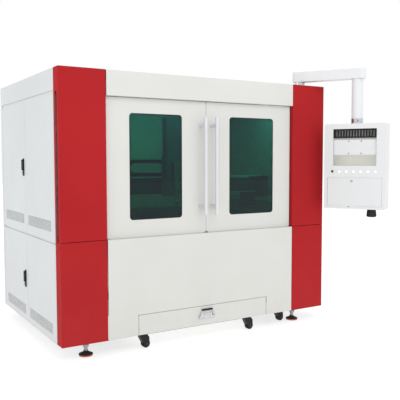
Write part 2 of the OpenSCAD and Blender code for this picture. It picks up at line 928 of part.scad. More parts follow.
module gantry_rails() {
    rack_pitch = 12.5;
    rack_n = 100;
    rack_h = 16;
    rack_w = 12;
    rail_l = cross_rear + tube_w - post_front - 20;
    color(CHROME) centred() both_sides() {
        translate([bed_rail_x, post_front + 10, bed_top + seat])
            cube([rail_w, rail_l, rail_h - seat]);
        translate([bed_x + bed_w + seat, post_front + 50, bed_top - 30])
            rotate([90, 0, 90]) linear_extrude(rack_w)
                polygon(concat(
                    rack_points(rack_n, rack_pitch, rack_h - 8, rack_h),
                    [[rack_n * rack_pitch, rack_h - 8], [rack_n * rack_pitch, 0], [0, 0]]
                ));
    }
}

module gantry_beam() {
    color(ALUMINIUM) centred() {
        translate([beam_x0, beam_y, beam_z]) tube_x(beam_l, beam_w, beam_wall);
        for (z = guide_z)
            translate([beam_x0 + 50, beam_y - guide_w, z]) cube([beam_l - 100, guide_w, guide_w]);
        translate([chain_bend_x - 120, chain_y - 5, beam_z + beam_w])
            chain_tray(chain_fixed_x - chain_bend_x + 150);
    }
}

// The channel that the chain's lower run lies on
module chain_tray(l) {
    w = link_w + 10;
    difference() {
        cube([l, w, tray_h]);
        translate([-through, 3, -through]) cube([l + 2 * through, w - 6, tray_h - 2]);
    }
}

// The servo drive of one side: gearbox, motor and cap, standing on the front of the truck
module gantry_drive(x, y, z) {
    gearbox_h = 38;
    cap_h = 24;
    step = 4;
    translate([x, y, z]) cube([drive_w, drive_d, gearbox_h]);
    translate([x + step, y + step, z]) cube([drive_w - 2 * step, drive_d - 2 * step, drive_h]);
    translate([x + 2, y + 2, z + drive_h - cap_h]) cube([drive_w - 4, drive_d - 4, cap_h - 6]);
}

// An end truck grips the bed rail and closes the end of the beam
module truck() {
    y0 = beam_y + beam_w / 2 - truck_l / 2;
    grip = 14;
    z0 = rail_top - grip;
    x0 = beam_x0 - 1 - truck_t;
    skirt_x = bed_x + bed_w + 16;
    difference() {
        union() {
            translate([x0, y0, z0]) cube([truck_t, truck_l, beam_z + beam_w + truck_t - z0]);
            translate([x0, y0, z0]) cube([truck_base_w, truck_l, beam_z - seat - z0]);
            translate([x0, y0 + skirt_in, z0])
                cube([skirt_x + skirt_t - x0, truck_l - skirt_in, beam_z - seat - z0]);
            translate([skirt_x, y0 + skirt_in, z0 - skirt_drop])
                cube([skirt_t, truck_l - skirt_in, skirt_drop + skirt_t]);
        }
        translate([bed_rail_x - 0.4, y0 - through, z0 - through])
            cube([rail_w + 0.8, truck_l + 2 * through, grip + through + seat]);
    }
    gantry_drive(x0 + 1, beam_y - guide_w - 1 - drive_d, beam_z - 15);
}

module gantry_trucks() {
    color(GRAPHITE) centred() both_sides() truck();
}

module x_carriage() {
    x0 = carriage_x - carriage_w / 2;
    plate_z0 = beam_z - 10;
    bracket_z = chain_z0 + 2 * chain_r - 2;
    plate_z1 = bracket_z + plate_rise;
    color(GRAPHITE) centred() {
        translate([x0, plate_y, plate_z0]) cube([carriage_w, plate_t, plate_z1 - plate_z0]);
        for (z = guide_z) for (x = [x0 + 5, x0 + carriage_w - block_l - 5])
            guide_block(x, z);
        translate([carriage_x - bracket_w / 2, plate_y + plate_t - 1, bracket_z - 4])
            cube([bracket_w, chain_y + link_w - plate_y - plate_t + 3, 4]);
        translate([carriage_x - z_box_w / 2, z_box_y, beam_z + 15])
            cube([z_box_w, z_box_d, z_box_h]);
    }
}

module guide_block(x, z) {
    reach = 9.5;
    translate([x, plate_y + plate_t - 1, z - reach]) difference() {
        cube([block_l, guide_w + 1, guide_w + 2 * reach]);
        translate([-through, 1 + cover_gap - seat, reach - seat])
            cube([block_l + 2 * through, guide_w + cover_gap, guide_w + 2 * seat]);
    }
}

// The cutting head: carrier, collimator body, focusing body and nozzle
module cutting_head() {
    tip = foot_z + nozzle_z;
    color(CHROME) centred() {
        translate([carriage_x - 24, head_y, tip + 160]) cube([48, z_box_y - seat - head_y, 190]);
        translate([carriage_x, head_y, 0]) rotate_extrude() polygon([
            [0, tip], [3, tip], [9, tip + 16], [14, tip + 18], [14, tip + 60], [19, tip + 66],
            [19, tip + 150], [24, tip + 156], [24, tip + 320], [20, tip + 330], [12, tip + 330],
            [12, tip + 353], [0, tip + 353]
        ]);
    }
}

// One link of the cable chain, a short box tube
module link(l) {
    wall = 3;
    difference() {
        cube([l, link_w, link_h]);
        translate([-through, wall, wall]) cube([l + 2 * through, link_w - 2 * wall, link_h - 2 * wall]);
    }
}

module cable_chain() {
    gap = 0.4;
    pitch = link_l + gap;
    lower_n = floor((chain_fixed_x - chain_bend_x) / pitch);
    upper_n = floor((chain_end - chain_bend_x + 60) / pitch);
    bend_n = 6;
    bend_step = 180 / bend_n;
    mid_r = chain_r * cos(bend_step / 2);
    inner_r = mid_r - link_h / 2;
    bend_l = 2 * inner_r * tan(bend_step / 2) - gap;
    color(BLACK) centred() translate([chain_bend_x, chain_y, chain_z0 + seat]) {
        for (i = [0:lower_n - 1]) translate([i * pitch + gap / 2, 0, 0]) link(link_l);
        for (i = [0:upper_n - 1]) translate([i * pitch + gap / 2, 0, 2 * chain_r]) link(link_l);
        for (i = [0:bend_n - 1])
            translate([0, 0, chain_r + link_h / 2]) rotate([0, (i + 0.5) * bend_step, 0])
                translate([-bend_l / 2, 0, -mid_r - link_h / 2]) link(bend_l);
    }
}

// Cutting table

module table_frame() {
    y0 = post_front + 6;
    l = cross_rear + tube_w - 6 - y0;
    z = rail_z + tube_w + seat;
    color(STEEL) centred() {
        both_sides() translate([side_member_x, y0, z]) cube([tube_w, l, member_h - seat]);
        for (y = comb_y) translate([comb_x0, y - 17, z]) cube([comb_l, member_h, member_h - seat]);
        for (y = comb_y) translate([comb_x0, y, comb_z0 + seat]) comb(comb_l);
    }
}

// A comb plate with a slot for each slat
module comb(span) {
    slot_w = slat_t + 0.8;
    h = slat_z1 - tooth_h - 8 - comb_z0;
    slot_z = slat_z0 - seat - comb_z0 - seat;
    upright(comb_t) difference() {
        square([span, h]);
        for (i = [0:slat_n - 1])
            translate([span / 2 + slat_x(i) - slot_w / 2, slot_z]) square([slot_w, h]);
    }
}

function slat_x(i) = (i - (slat_n - 1) / 2) * slat_pitch;

// One slat stands on edge along Y, with a row of pointed teeth
module table_slats() {
    body_h = slat_h - tooth_h;
    tips = [for (i = [0:tooth_n - 1]) each
        [[i * tooth_pitch, body_h], [(i + 0.5) * tooth_pitch, slat_h]]];
    outline = concat(tips, [[slat_l, body_h], [slat_l, 0], [0, 0]]);
    color(STEEL) centred() for (i = [0:slat_n - 1])
        translate([mid_x + slat_x(i) - slat_t / 2, slat_y0, slat_z0])
            rotate([90, 0, 90]) linear_extrude(slat_t) polygon(outline);
}

// Scrap chute: four sloping sheets that funnel into the drawer

function slope(a, b, t) = [[a, chute_top], [a + t, chute_top], [b + t, chute_foot], [b, chute_foot]];

chute_x0 = inner_x + tube_w + weld;
chute_y0 = post_front + tube_w + weld;
chute_y1 = cross_rear - weld;
chute_front = chute_y0 + 2;

// Everything between the front and back slopes, or between the left and right ones
module chute_depth(inset) {
    translate([0, 0, 0]) rotate([90, 0, 90]) linear_extrude(cabinet_w) polygon([
        [chute_y0 + inset, chute_top], [chute_y1 - inset, chute_top],
        [chute_back - inset, chute_foot], [chute_front + inset, chute_foot]
    ]);
}

module chute_width(inset) {
    translate([0, cabinet_d, 0]) rotate([90, 0, 0]) linear_extrude(cabinet_d) polygon([
        [chute_x0 + inset, chute_top], [cabinet_w - chute_x0 - inset, chute_top],
        [cabinet_w - chute_mouth - inset, chute_foot], [chute_mouth + inset, chute_foot]
    ]);
}

module scrap_chute() {
    color(GALVANISED) centred() {
        both_sides() intersection() {
            translate([0, cabinet_d, 0]) rotate([90, 0, 0]) linear_extrude(cabinet_d)
                polygon(slope(chute_x0, chute_mouth, chute_t));
            chute_depth(0);
        }
        for (run = [[chute_y0, chute_front, chute_t], [chute_y1, chute_back, -chute_t]])
            intersection() {
                rotate([90, 0, 90]) linear_extrude(cabinet_w) polygon(slope(run[0], run[1], run[2]));
                chute_width(chute_t + 1);
            }
    }
}

// Scrap drawer

module scrap_drawer() {
    front_t = tray_in;
    tray_x = drawer_x + tray_in;
    tray_w = drawer_w - 2 * tray_in;
    color(WHITE) centred() {
        translate([drawer_x, 0, drawer_z]) pan(drawer_w, drawer_h, front_t);
        difference() {
            translate([tray_x, front_t - 1, tray_z]) cube([tray_w, drawer_d, tray_h_full]);
            translate([tray_x + tray_t, front_t - 1 + tray_t, tray_z + tray_t])
                cube([tray_w - 2 * tray_t, drawer_d - 2 * tray_t, tray_h_full]);
        }
        for (x = [left_caster_x, drawer_x + drawer_w - 34]) {
            y = drawer_d - 70;
            translate([x - wheel_w / 2, y, axle_z]) rotate([0, 90, 0])
                cylinder(h = wheel_w, r = wheel_d / 2);
            for (side = [-1, 1]) translate([x + side * 20 - 2, y - 12, axle_z - 12])
                cube([4, 24, tray_z + 1 - axle_z + 12]);
            rod([x - 21, y, axle_z], [x + 21, y, axle_z], 4);
        }
        for (x = [left_caster_x, middle_caster_x]) {
            translate([x - 30, drawer_caster_y - 20, tray_z - caster_plate_t])
                cube([74, 60, caster_plate_t + 1]);
            king_pin(x, drawer_caster_y, tray_z - caster_plate_t);
        }
    }
}

// Folding pull: plate with two ears, wire bail and rubber grip

ear_w = 6;
bail_r = 3;

module drawer_pull_plate() {
    color(CHROME) centred() {
        translate([pull_x, -pull_t - seat, foot_z + pull_z])
            upright(pull_t) rounded_rect(pull_w, pull_h, 4);
        for (x = [pull_x, pull_x + pull_w - ear_w])
            translate([x, bail_y - 6, bail_z - 7]) difference() {
                cube([ear_w, -bail_y - pull_t + 6, 14]);
                translate([-through, 6, 7]) rotate([0, 90, 0])
                    cylinder(h = ear_w + 2 * through, r = bail_r + running);
            }
    }
}

module drawer_bail() {
    lean = 8;
    foot = ear_w + 5;
    color(CHROME) centred() {
        for (side = [0, 1]) translate([pull_x + side * pull_w, 0, 0]) mirror([side, 0, 0]) {
            rod([0, bail_y, bail_z], [foot + bail_r, bail_y, bail_z], bail_r);
            rod([foot, bail_y, bail_z], [foot + lean, bail_y, grip_z], bail_r - 0.1);
        }
        rod([pull_x + foot + lean - bail_r, bail_y, grip_z],
            [pull_x + pull_w - foot - lean + bail_r, bail_y, grip_z], bail_r);
    }
}

module drawer_grip() {
    color(BLACK) centred() translate([pull_x + (pull_w - grip_w) / 2, bail_y, grip_z])
        rotate([0, 90, 0]) difference() {
            cylinder(h = grip_w, r = 7);
            translate([0, 0, -through]) cylinder(h = grip_w + 2 * through, r = bail_r + running);
        }
}

// Hooded swivel casters, drawn round their swivel axis with the wheel trailing to +X

king_r = 6;

module king_pin(x, y, z) {
    translate([x, y, z - 10]) cylinder(h = 10 + 1, r = king_r);
}

module caster_hood(plate_z) {
    h = plate_z - seat - axle_z;
    slot_w = wheel_w + 2;
    difference() {
        translate([0, -caster_w / 2, axle_z]) upright(caster_w) {
            translate([trail, 0]) circle(24);
            polygon([
                [trail - 24, 0], [-26, h - 12], [-26, h], [trail + 4, h],
                [trail + 22, h - 24], [trail + 24, 0]
            ]);
        }
        translate([trail, -slot_w / 2, axle_z]) upright(slot_w) {
            circle(wheel_d / 2 + 2);
            translate([-wheel_d / 2 - 2, -wheel_d]) square([wheel_d + 4, wheel_d]);
        }
        translate([0, 0, plate_z - 12]) cylinder(h = 14, r = king_r + running);
    }
    rod([trail, -caster_w / 2 + 2, axle_z], [trail, caster_w / 2 - 2, axle_z], 4);
}

module caster_wheel() {
    translate([trail, -wheel_w / 2, axle_z]) rotate([-90, 0, 0]) difference() {
        cylinder(h = wheel_w, r = wheel_d / 2);
        translate([0, 0, -through]) cylinder(h = wheel_w + 2 * through, r = 4 + running);
    }
}

drawer_plate_z = tray_z - caster_plate_t;
frame_plate_z = foot_z - weld - caster_plate_t;

module at_caster(x, y) {
    centred() translate([x, y, 0]) children();
}

module left_caster_hood() { color(BLACK) at_caster(left_caster_x, drawer_caster_y) caster_hood(drawer_plate_z); }
module left_caster_wheel() { color(BLACK) at_caster(left_caster_x, drawer_caster_y) caster_wheel(); }
module middle_caster_hood() { color(BLACK) at_caster(middle_caster_x, drawer_caster_y) caster_hood(drawer_plate_z); }
module middle_caster_wheel() { color(BLACK) at_caster(middle_caster_x, drawer_caster_y) caster_wheel(); }
module right_caster_hood() { color(BLACK) at_caster(right_caster_x, right_caster_y) caster_hood(frame_plate_z); }
module right_caster_wheel() { color(BLACK) at_caster(right_caster_x, right_caster_y) caster_wheel(); }

// Levelling feet

nut_h = 14;
disc_h = 30;
sole_h = 10;

module at_feet() {
    for (spot = foot_spots) translate([spot.x, spot.y, 0]) children();
}

module foot_screws() {
    color(CHROME) centred() at_feet() {
        translate([0, 0, disc_h - 8]) cylinder(h = foot_z - seat - disc_h + 8, r = foot_screw_d / 2);
        translate([0, 0, foot_z - seat - nut_h]) cylinder(h = nut_h, r = foot_screw_d - 1, $fn = 6);
    }
}

module foot_discs() {
    r = foot_d / 2;
    neck = foot_screw_d / 2 + 6;
    color(GRAPHITE) centred() at_feet() difference() {
        rotate_extrude() polygon([
            [0, sole_h + seat], [r, sole_h + seat], [r, sole_h + 4], [neck + 6, disc_h - 2],
            [neck, disc_h + 6], [0, disc_h + 6]
        ]);
        translate([0, 0, disc_h - 8.2]) cylinder(h = 20, r = foot_screw_d / 2 + 0.3);
    }
}

module foot_soles() {
    color(ORANGE) centred() at_feet() cylinder(h = sole_h, r = foot_d / 2 - 2);
}

// Equipment in the left bay

module laser_source() {
    w = 240;
    l = 780;
    h = 485;
    x = outer_x + 6;
    y = 300;
    z = foot_z + tube_w + sheet_t + seat;
    color(GRAPHITE) centred() {
        difference() {
            translate([x, y, z]) cube([w, l, h]);
            for (i = [0:9])
                translate([x - through, y + 80 + i * 20, z + 300]) cube([8, 10, 120]);
        }
        for (side = [60, l - 80])
            translate([x - 20, y + side, z + 60]) cube([21, 12, 160]);
    }
}

// Mounting plate with three wiring ducts, servo drives, a controller, contactors and power supplies
module control_plate() {
    plate_x = inner_x - 3 - seat;
    y0 = post_front + 10;
    l = post_rear + tube_w - 10 - y0;
    z0 = rail_z + tube_w + 60;
    h = roof_z - 216 - z0;
    row = h / 9;
    color(GALVANISED) centred() {
        translate([plate_x, y0, z0]) cube([3, l, h]);
        for (z = [0.6, 4.2, 7.8])
            on_plate(plate_x, y0 + 80, z0 + z * row) cube([60, l - 160, 0.4 * row]);
        for (i = [0:3]) on_plate(plate_x, y0 + 140 + i * 130, z0 + 5.2 * row) cube([110, 90, 2 * row]);
        on_plate(plate_x, y0 + 760, z0 + 5.4 * row) cube([80, 300, 1.5 * row]);
        for (i = [0:8]) on_plate(plate_x, y0 + 140 + i * 60, z0 + 2 * row) cube([75, 46, 0.9 * row]);
        for (i = [0:1]) on_plate(plate_x, y0 + 760 + i * 170, z0 + 1.7 * row) cube([95, 130, 1.6 * row]);
    }
}

// Something that stands off the plate to the left, drawn as if it stood off to the right
module on_plate(x, y, z) {
    translate([x - seat, y, z]) mirror([1, 0, 0]) children();
}

// Console arm

module arm_coupling() {
    base_z = roof_z + sheet_t + seat;
    color(CHROME) centred() translate([arm_x, arm_y, base_z])
        cylinder(h = arm_z - seat - base_z, r = coupling_d / 2);
}

module swing_arm() {
    base_end = 55;
    tip_end = 62;
    collar_z = case_z1 + collar_h + seat;
    color(WHITE) centred() on_arm() {
        translate([-base_end, -arm_w / 2, arm_z])
            linear_extrude(arm_h) rounded_rect(arm_l + base_end + tip_end, arm_w, 30);
        difference() {
            translate([arm_l, 0, collar_z]) cylinder(h = arm_z + 1 - collar_z, r = drop_d / 2);
            translate([arm_l, 0, collar_z - through])
                cylinder(h = arm_z - collar_z - 4, r = drop_d / 2 - drop_wall);
        }
    }
}

// The collar turns in the tube on its spigot
module console_coupling() {
    color(CHROME) centred() on_console() {
        translate([0, 0, case_z1 + seat]) cylinder(h = collar_h - seat, r = drop_d / 2 + 3);
        translate([0, 0, case_z1 + seat]) cylinder(h = collar_h + 30, r = drop_d / 2 - drop_wall - 0.1);
    }
}

// Console

module console_box(inset) {
    translate([-console_w / 2 + inset, face_y + inset, case_z0 + inset])
        upright(console_d - 2 * inset)
            rounded_rect(console_w - 2 * inset, console_h - 2 * inset, console_r - inset);
}

module console_case() {
    t = sheet_t;
    color(WHITE) centred() on_console() {
        difference() {
            difference() {
                console_box(0);
                console_box(t);
                translate([-console_w / 2 + t, face_y + console_d - t - through, case_z0 + t])
                    upright(t + 2 * through)
                        rounded_rect(console_w - 2 * t, console_h - 2 * t, console_r - t);
            }
            translate([-recess_w / 2, face_y - through, recess_z0])
                cube([recess_w, t + 2 * through, recess_h]);
            translate([-flap_w / 2 - flap_gap, face_y - through, flap_z0 - flap_gap])
                cube([flap_w + 2 * flap_gap, t + 2 * through, flap_h + 2 * flap_gap]);
            for (i = [0:button_n - 1])
                translate([button_shift + (i - (button_n - 1) / 2) * button_pitch, face_y - through, button_z])
                    rotate([-90, 0, 0]) cylinder(h = t + 2 * through, r = button_d / 2);
        }
        for (side = [0, 1]) mirror([side, 0, 0]) flap_hinge();
        for (z = [shelf_z, desk_z1])
            translate([-console_w / 2 + t + seat, face_y + t + seat, z])
                cube([console_w - 2 * t - 2 * seat, console_d - 2 * t - 2 * seat, t]);
        edge = t + seat;
        translate([-console_w / 2 + edge, face_y + console_d - t, case_z0 + edge])
            upright(t) rounded_rect(console_w - 2 * edge, console_h - 2 * edge, console_r - t);
    }
}

// An ear behind the front sheet with a pin for the flap
module flap_hinge() {
    ear_x = flap_w / 2 + flap_gap + 0.5;
    translate([ear_x, face_y + 1, flap_z0 - 1]) cube([5, 12, 14]);
    translate([ear_x - 9, face_y + flap_pivot, flap_z0 + flap_pivot]) rotate([0, 90, 0])
        cylinder(h = 10, r = flap_pin_r);
}

// The black grille behind the upper edge of the recess, with its upright slots
module console_grille() {
    slots = 14;
    margin = 14;
    pitch = (recess_w - 2 * margin) / slots;
    color(BLACK) centred() on_console()
        translate([-recess_w / 2 - 10, face_y + sheet_t + bar_set_back, recess_z1 - grille_h])
            union() {
                upright(3) difference() {
                    square([recess_w + 20, grille_h + 12]);
                    for (i = [0:slots - 1])
                        translate([10 + margin + i * pitch + pitch * 0.3, 12])
                            square([pitch * 0.4, grille_h - 24]);
                }
                for (x = [0, recess_w + 17])
                    translate([x, seat - bar_set_back, 0]) cube([3, bar_set_back, grille_h + 12]);
            }
}

module monitor_bar() {
    bar_t = 3;
    flange = 20;
    x0 = -console_w / 2 + sheet_t + seat;
    w = console_w - 2 * sheet_t - 2 * seat;
    z0 = bar_z1 - bar_h;
    color(WHITE) centred() on_console() translate([x0, face_y + sheet_t + bar_set_back, z0])
        difference() {
            union() {
                cube([w, bar_t, bar_h]);
                for (x = [0, w - bar_t]) translate([x, 0, 0]) cube([bar_t, flange, bar_h]);
            }
            for (x = [-1, 1]) for (z = [-1, 1])
                translate([w / 2 + x * monitor_pitch / 2, -through, bar_h / 2 + z * monitor_pitch / 2])
                    rotate([-90, 0, 0]) cylinder(h = bar_t + 2 * through, r = 2.5);
        }
}

module console_flap() {
    color(WHITE) centred() on_console() translate([-flap_w / 2, face_y, flap_z0]) difference() {
        pan(flap_w, flap_h, flap_t);
        translate([flap_w / 2 + lock_x, -through, flap_h - 25]) rotate([-90, 0, 0])
            cylinder(h = sheet_t + 2 * through, r = lock_r + running);
        translate([-through, flap_pivot, flap_pivot]) rotate([0, 90, 0])
            cylinder(h = flap_w + 2 * through, r = flap_pin_r + running);
    }
}

// A cam lock: round head, barrel through the flap and a cam that lies level when unlocked
module flap_lock() {
    color(CHROME) centred() on_console() translate([lock_x, 0, lock_z]) {
        translate([0, face_y - 2.5, 0]) rotate([-90, 0, 0]) cylinder(h = 2.5 - seat, r = lock_r + 2);
        translate([0, face_y - 1, 0]) rotate([-90, 0, 0]) cylinder(h = 18, r = lock_r);
        translate([-6, face_y + 12, -6]) cube([37, 3, 12]);
    }
}

// The tapered rubber grip under the console
module console_grip() {
    h = 64;
    low_r = 40;
    round_r = 14;
    arc = [for (a = [0:15:90]) [low_r - round_r + round_r * cos(a), round_r - round_r * sin(a)]];
    color(BLACK) centred() on_console() translate([grip_x, 0, case_z0 - seat - h])
        rotate_extrude() polygon(concat([[0, h], [low_r - 6, h]], arc, [[0, 0]]));
}

frame_tubes();
roof_panel();
rear_panels();
upper_pillar_covers();
lower_pillar_covers();
front_header();
front_lower_panel();
left_side_trims();
right_side_panels();
inner_panels();
bed_beams();
gantry_rails();
table_frame();
table_slats();
scrap_chute();
foot_screws();
foot_discs();
foot_soles();
door_hinges();
laser_source();
control_plate();
exhaust_spigot();
arm_coupling();
left_front_door();
left_window();
left_door_handle();
right_front_door();
right_window();
right_door_handle();
upper_rear_door();
upper_front_door();
lower_rear_door();
lower_front_door();
upper_latch_dish();
upper_latch_lever();
lower_latch_dish();
lower_latch_lever();
gantry_beam();
gantry_trucks();
x_carriage();
cutting_head();
cable_chain();
scrap_drawer();
drawer_pull_plate();
drawer_bail();
drawer_grip();
left_caster_hood();
left_caster_wheel();
middle_caster_hood();
middle_caster_wheel();
right_caster_hood();
right_caster_wheel();
swing_arm();
console_coupling();
console_case();
console_grille();
monitor_bar();
console_flap();
flap_lock();
console_grip();
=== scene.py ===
# %% [markdown]
# # An enclosed fibre laser cutting machine
# The real machine is a cabinet of folded, powder-coated sheet. Behind two glazed doors a gantry
# carries a cutting head over a table of steel slats, and an operator's console hangs from a swing
# arm. Its solids come ready from CAD. Blender adds what CAD leaves plain: the finishes, the
# fastenings, seals, links and fittings, and the studio that they are seen in.

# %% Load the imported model
import json
import math

import bmesh
import bpy
from mathutils import Matrix, Vector


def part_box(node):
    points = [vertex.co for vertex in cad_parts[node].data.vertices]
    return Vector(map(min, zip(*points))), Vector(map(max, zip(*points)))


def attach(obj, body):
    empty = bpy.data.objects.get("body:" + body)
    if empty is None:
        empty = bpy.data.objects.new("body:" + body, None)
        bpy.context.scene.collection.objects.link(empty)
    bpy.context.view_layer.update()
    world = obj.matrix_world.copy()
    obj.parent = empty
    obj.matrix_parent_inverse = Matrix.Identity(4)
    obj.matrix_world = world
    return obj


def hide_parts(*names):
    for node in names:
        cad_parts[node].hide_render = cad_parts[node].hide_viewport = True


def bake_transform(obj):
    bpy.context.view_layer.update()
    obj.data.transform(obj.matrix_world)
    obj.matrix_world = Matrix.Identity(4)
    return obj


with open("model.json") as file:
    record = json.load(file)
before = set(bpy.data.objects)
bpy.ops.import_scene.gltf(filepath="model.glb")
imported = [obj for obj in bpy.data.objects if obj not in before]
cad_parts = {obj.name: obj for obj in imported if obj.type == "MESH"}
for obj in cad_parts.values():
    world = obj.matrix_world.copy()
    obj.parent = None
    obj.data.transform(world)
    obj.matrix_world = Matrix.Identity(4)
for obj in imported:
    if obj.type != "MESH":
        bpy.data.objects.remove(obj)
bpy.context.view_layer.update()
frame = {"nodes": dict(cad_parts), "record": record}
record = frame["record"]

# %% [markdown]
# The drawings give every place in millimetres from the cabinet's left face, its front plane and
# the floor, while Blender works in metres. One small function turns the first into the second, so
# each step below can be read beside a workshop drawing. Its corner is measured on the solids.

# %% Places in workshop millimetres
MM = 0.001
LEFT, RIGHT, FRONT, BACK, DOWN, UP = (
    (-1, 0, 0), (1, 0, 0), (0, -1, 0), (0, 1, 0), (0, 0, -1), (0, 0, 1),
)
cabinet_left, cabinet_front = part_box("upper_pillar_covers")[0][:2]
cabinet_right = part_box("upper_pillar_covers")[1].x
width = round((cabinet_right - cabinet_left) * 1000)
CENTRE, DEPTH = width / 2, 1540


def at(x, y, z):
    """A point given from the left face, the front plane and the floor."""
    return Vector((cabinet_left + x * MM, cabinet_front + y * MM, z * MM))


print("cabinet", width, "mm wide, its front left corner at", at(0, 0, 0))

# %% [markdown]
# The photograph was taken from the front left, a little below the machine's top. The camera's
# place and lens were solved from the cabinet's edges. It comes first, because everything after it
# is judged through it.

# %% Camera
PLACE, PITCH_DOWN, ROLL, HEADING = (-1306.9, -3919.0, 1360.5), 3.725, 0.09, -31.409
lens = bpy.data.cameras.new("camera")
lens.sensor_width = 36
lens.lens = 54.94
camera = bpy.data.objects.new("camera", lens)
camera.location = at(*PLACE)
camera.rotation_euler = [math.radians(angle) for angle in (90 - PITCH_DOWN, ROLL, HEADING)]
bpy.context.scene.collection.objects.link(camera)
bpy.context.scene.camera = camera
print("camera at", camera.location)

# %% [markdown]
# White machines are photographed in a bright, even tent of light, so that only the folds turn
# grey. A white world does the tent's work. A broad lamp above the front and a weaker, cooler one
# at the left give the faces their tones, and the Standard view keeps the whites clean.

# %% World and lamps
scene = bpy.context.scene
scene.view_settings.view_transform = "Standard"
world = bpy.data.worlds.new("tent")
world.use_nodes = True
background = world.node_tree.nodes["Background"].inputs
background["Color"].default_value, background["Strength"].default_value = (1, 1, 1, 1), 1.0
scene.world = world


def softbox(name, place, target, size, power, colour=(1, 1, 1)):
    """A broad lamp that looks from its place at a target."""
    light = bpy.data.lights.new(name, "AREA")
    light.shape = "RECTANGLE"
    light.size, light.size_y = size
    light.energy = power
    light.color = colour
    lamp = bpy.data.objects.new(name, light)
    lamp.location = place
    lamp.rotation_euler = (Vector(target) - Vector(place)).to_track_quat("-Z", "Y").to_euler()
    scene.collection.objects.link(lamp)
    print(name, "gives", power, "watts")


softbox("key_softbox", (-0.5, -4.6, 5.4), (0, -0.5, 1.3), (3.6, 2.4), 80)
softbox("side_softbox", (-5.5, 0.3, 3.4), (-1.2, 0, 1.3), (2.6, 2.6), 24, (0.95, 0.98, 1.0))

# %% [markdown]
# Shader nodes are easier to follow as sums than as a net of wires. The class below wraps an output
# socket and gives it Python's operators, so that `1 - dust * 0.3` adds the Math nodes that do it.

# %% A socket that can be reckoned with


class Socket:
    """An output of a finish's node tree."""

    def __init__(self, finish, plug):
        self.finish, self.plug = finish, plug

    def math(self, operation, first, second):
        return self.finish.node("ShaderNodeMath", {0: first, 1: second}, operation=operation)

    def __add__(self, other):
        return self.math("ADD", self, other)

    def __mul__(self, other):
        return self.math("MULTIPLY", self, other)

    def __rsub__(self, other):
        return self.math("SUBTRACT", other, self)

    __radd__, __rmul__ = __add__, __mul__

    def over(self, low, high):
        """0 below low, 1 above high, and a straight ramp between."""
        inputs = {"Value": self, "From Min": low, "From Max": high}
        return self.finish.node("ShaderNodeMapRange", inputs, clamp=True)


# %% [markdown]
# A finish is one material and its Principled shader. One method makes any node: its inputs take
# numbers, colours or wires, and its settings follow by name. Noise, cells and bump are short
# methods on top of it. All of them read Object coordinates in metres, so a grain has the same
# size on a door and on a bolt.

# %% A finish


class Finish:
    """One material, with the record's slot that it belongs to."""

    def __init__(self, name, slot):
        self.name, self.slot = name, slot
        self.material = bpy.data.materials.new(name)
        self.material.use_nodes = True
        self.tree = self.material.node_tree
        self.shader = self.tree.nodes["Principled BSDF"]
        self.where = self.node("ShaderNodeTexCoord", {}, "Object")

    def node(self, kind, inputs, output=0, **settings):
        made = self.tree.nodes.new(kind)
        for key, value in settings.items():
            setattr(made, key, value)
        for key, value in inputs.items():
            self.feed(made.inputs[key], value)
        return Socket(self, made.outputs[output])

    def feed(self, socket, value):
        """Wires a value into a socket, or sets it there."""
        if isinstance(value, Socket):
            self.tree.links.new(value.plug, socket)
        elif socket.type == "RGBA":
            socket.default_value = (*value, 1)
        else:
            socket.default_value = value

    def stretched(self, x, y, z):
        """Object coordinates, scaled along each axis."""
        return self.node("ShaderNodeMapping", {"Vector": self.where, "Scale": (x, y, z)})

    def noise(self, scale, detail=3, rough=0.5, vector=None):
        inputs = {"Scale": scale, "Detail": detail, "Roughness": rough}
        return self.node("ShaderNodeTexNoise", inputs | {"Vector": vector or self.where})

    def cells(self, scale, output="Color", vector=None):
        inputs = {"Scale": scale, "Vector": vector or self.where}
        return self.node("ShaderNodeTexVoronoi", inputs, output)

    def axis(self, name):
        return self.node("ShaderNodeSeparateXYZ", {"Vector": self.where}, name)

    def mix(self, factor, a, b):
        return self.node("ShaderNodeMix", {0: factor, 6: a, 7: b}, 2, data_type="RGBA")

    def ramp(self, factor, *stops):
        ramp = self.node("ShaderNodeValToRGB", {"Fac": factor}, "Color")
        elements = ramp.plug.node.color_ramp.elements
        while len(elements) < len(stops):
            elements.new(0.5)
        for element, (position, colour) in zip(elements, stops):
            element.position, element.color = position, (*colour, 1)
        return ramp

    def bump(self, height, distance, strength=1.0, under=None):
        inputs = {"Height": height, "Distance": distance, "Strength": strength}
        if under:
            inputs["Normal"] = under
        return self.node("ShaderNodeBump", inputs)

    def set(self, **values):
        """Sets the shader's inputs, named as in the editor with underscores for spaces."""
        for name, value in values.items():
            self.feed(self.shader.inputs[name.replace("_", " ")], value)
        print("finish", self.name, "for the slot", self.slot)
        return self


def tone(colour, factor):
    """A colour made lighter or darker."""
    return tuple(min(1.0, c * factor) for c in colour)
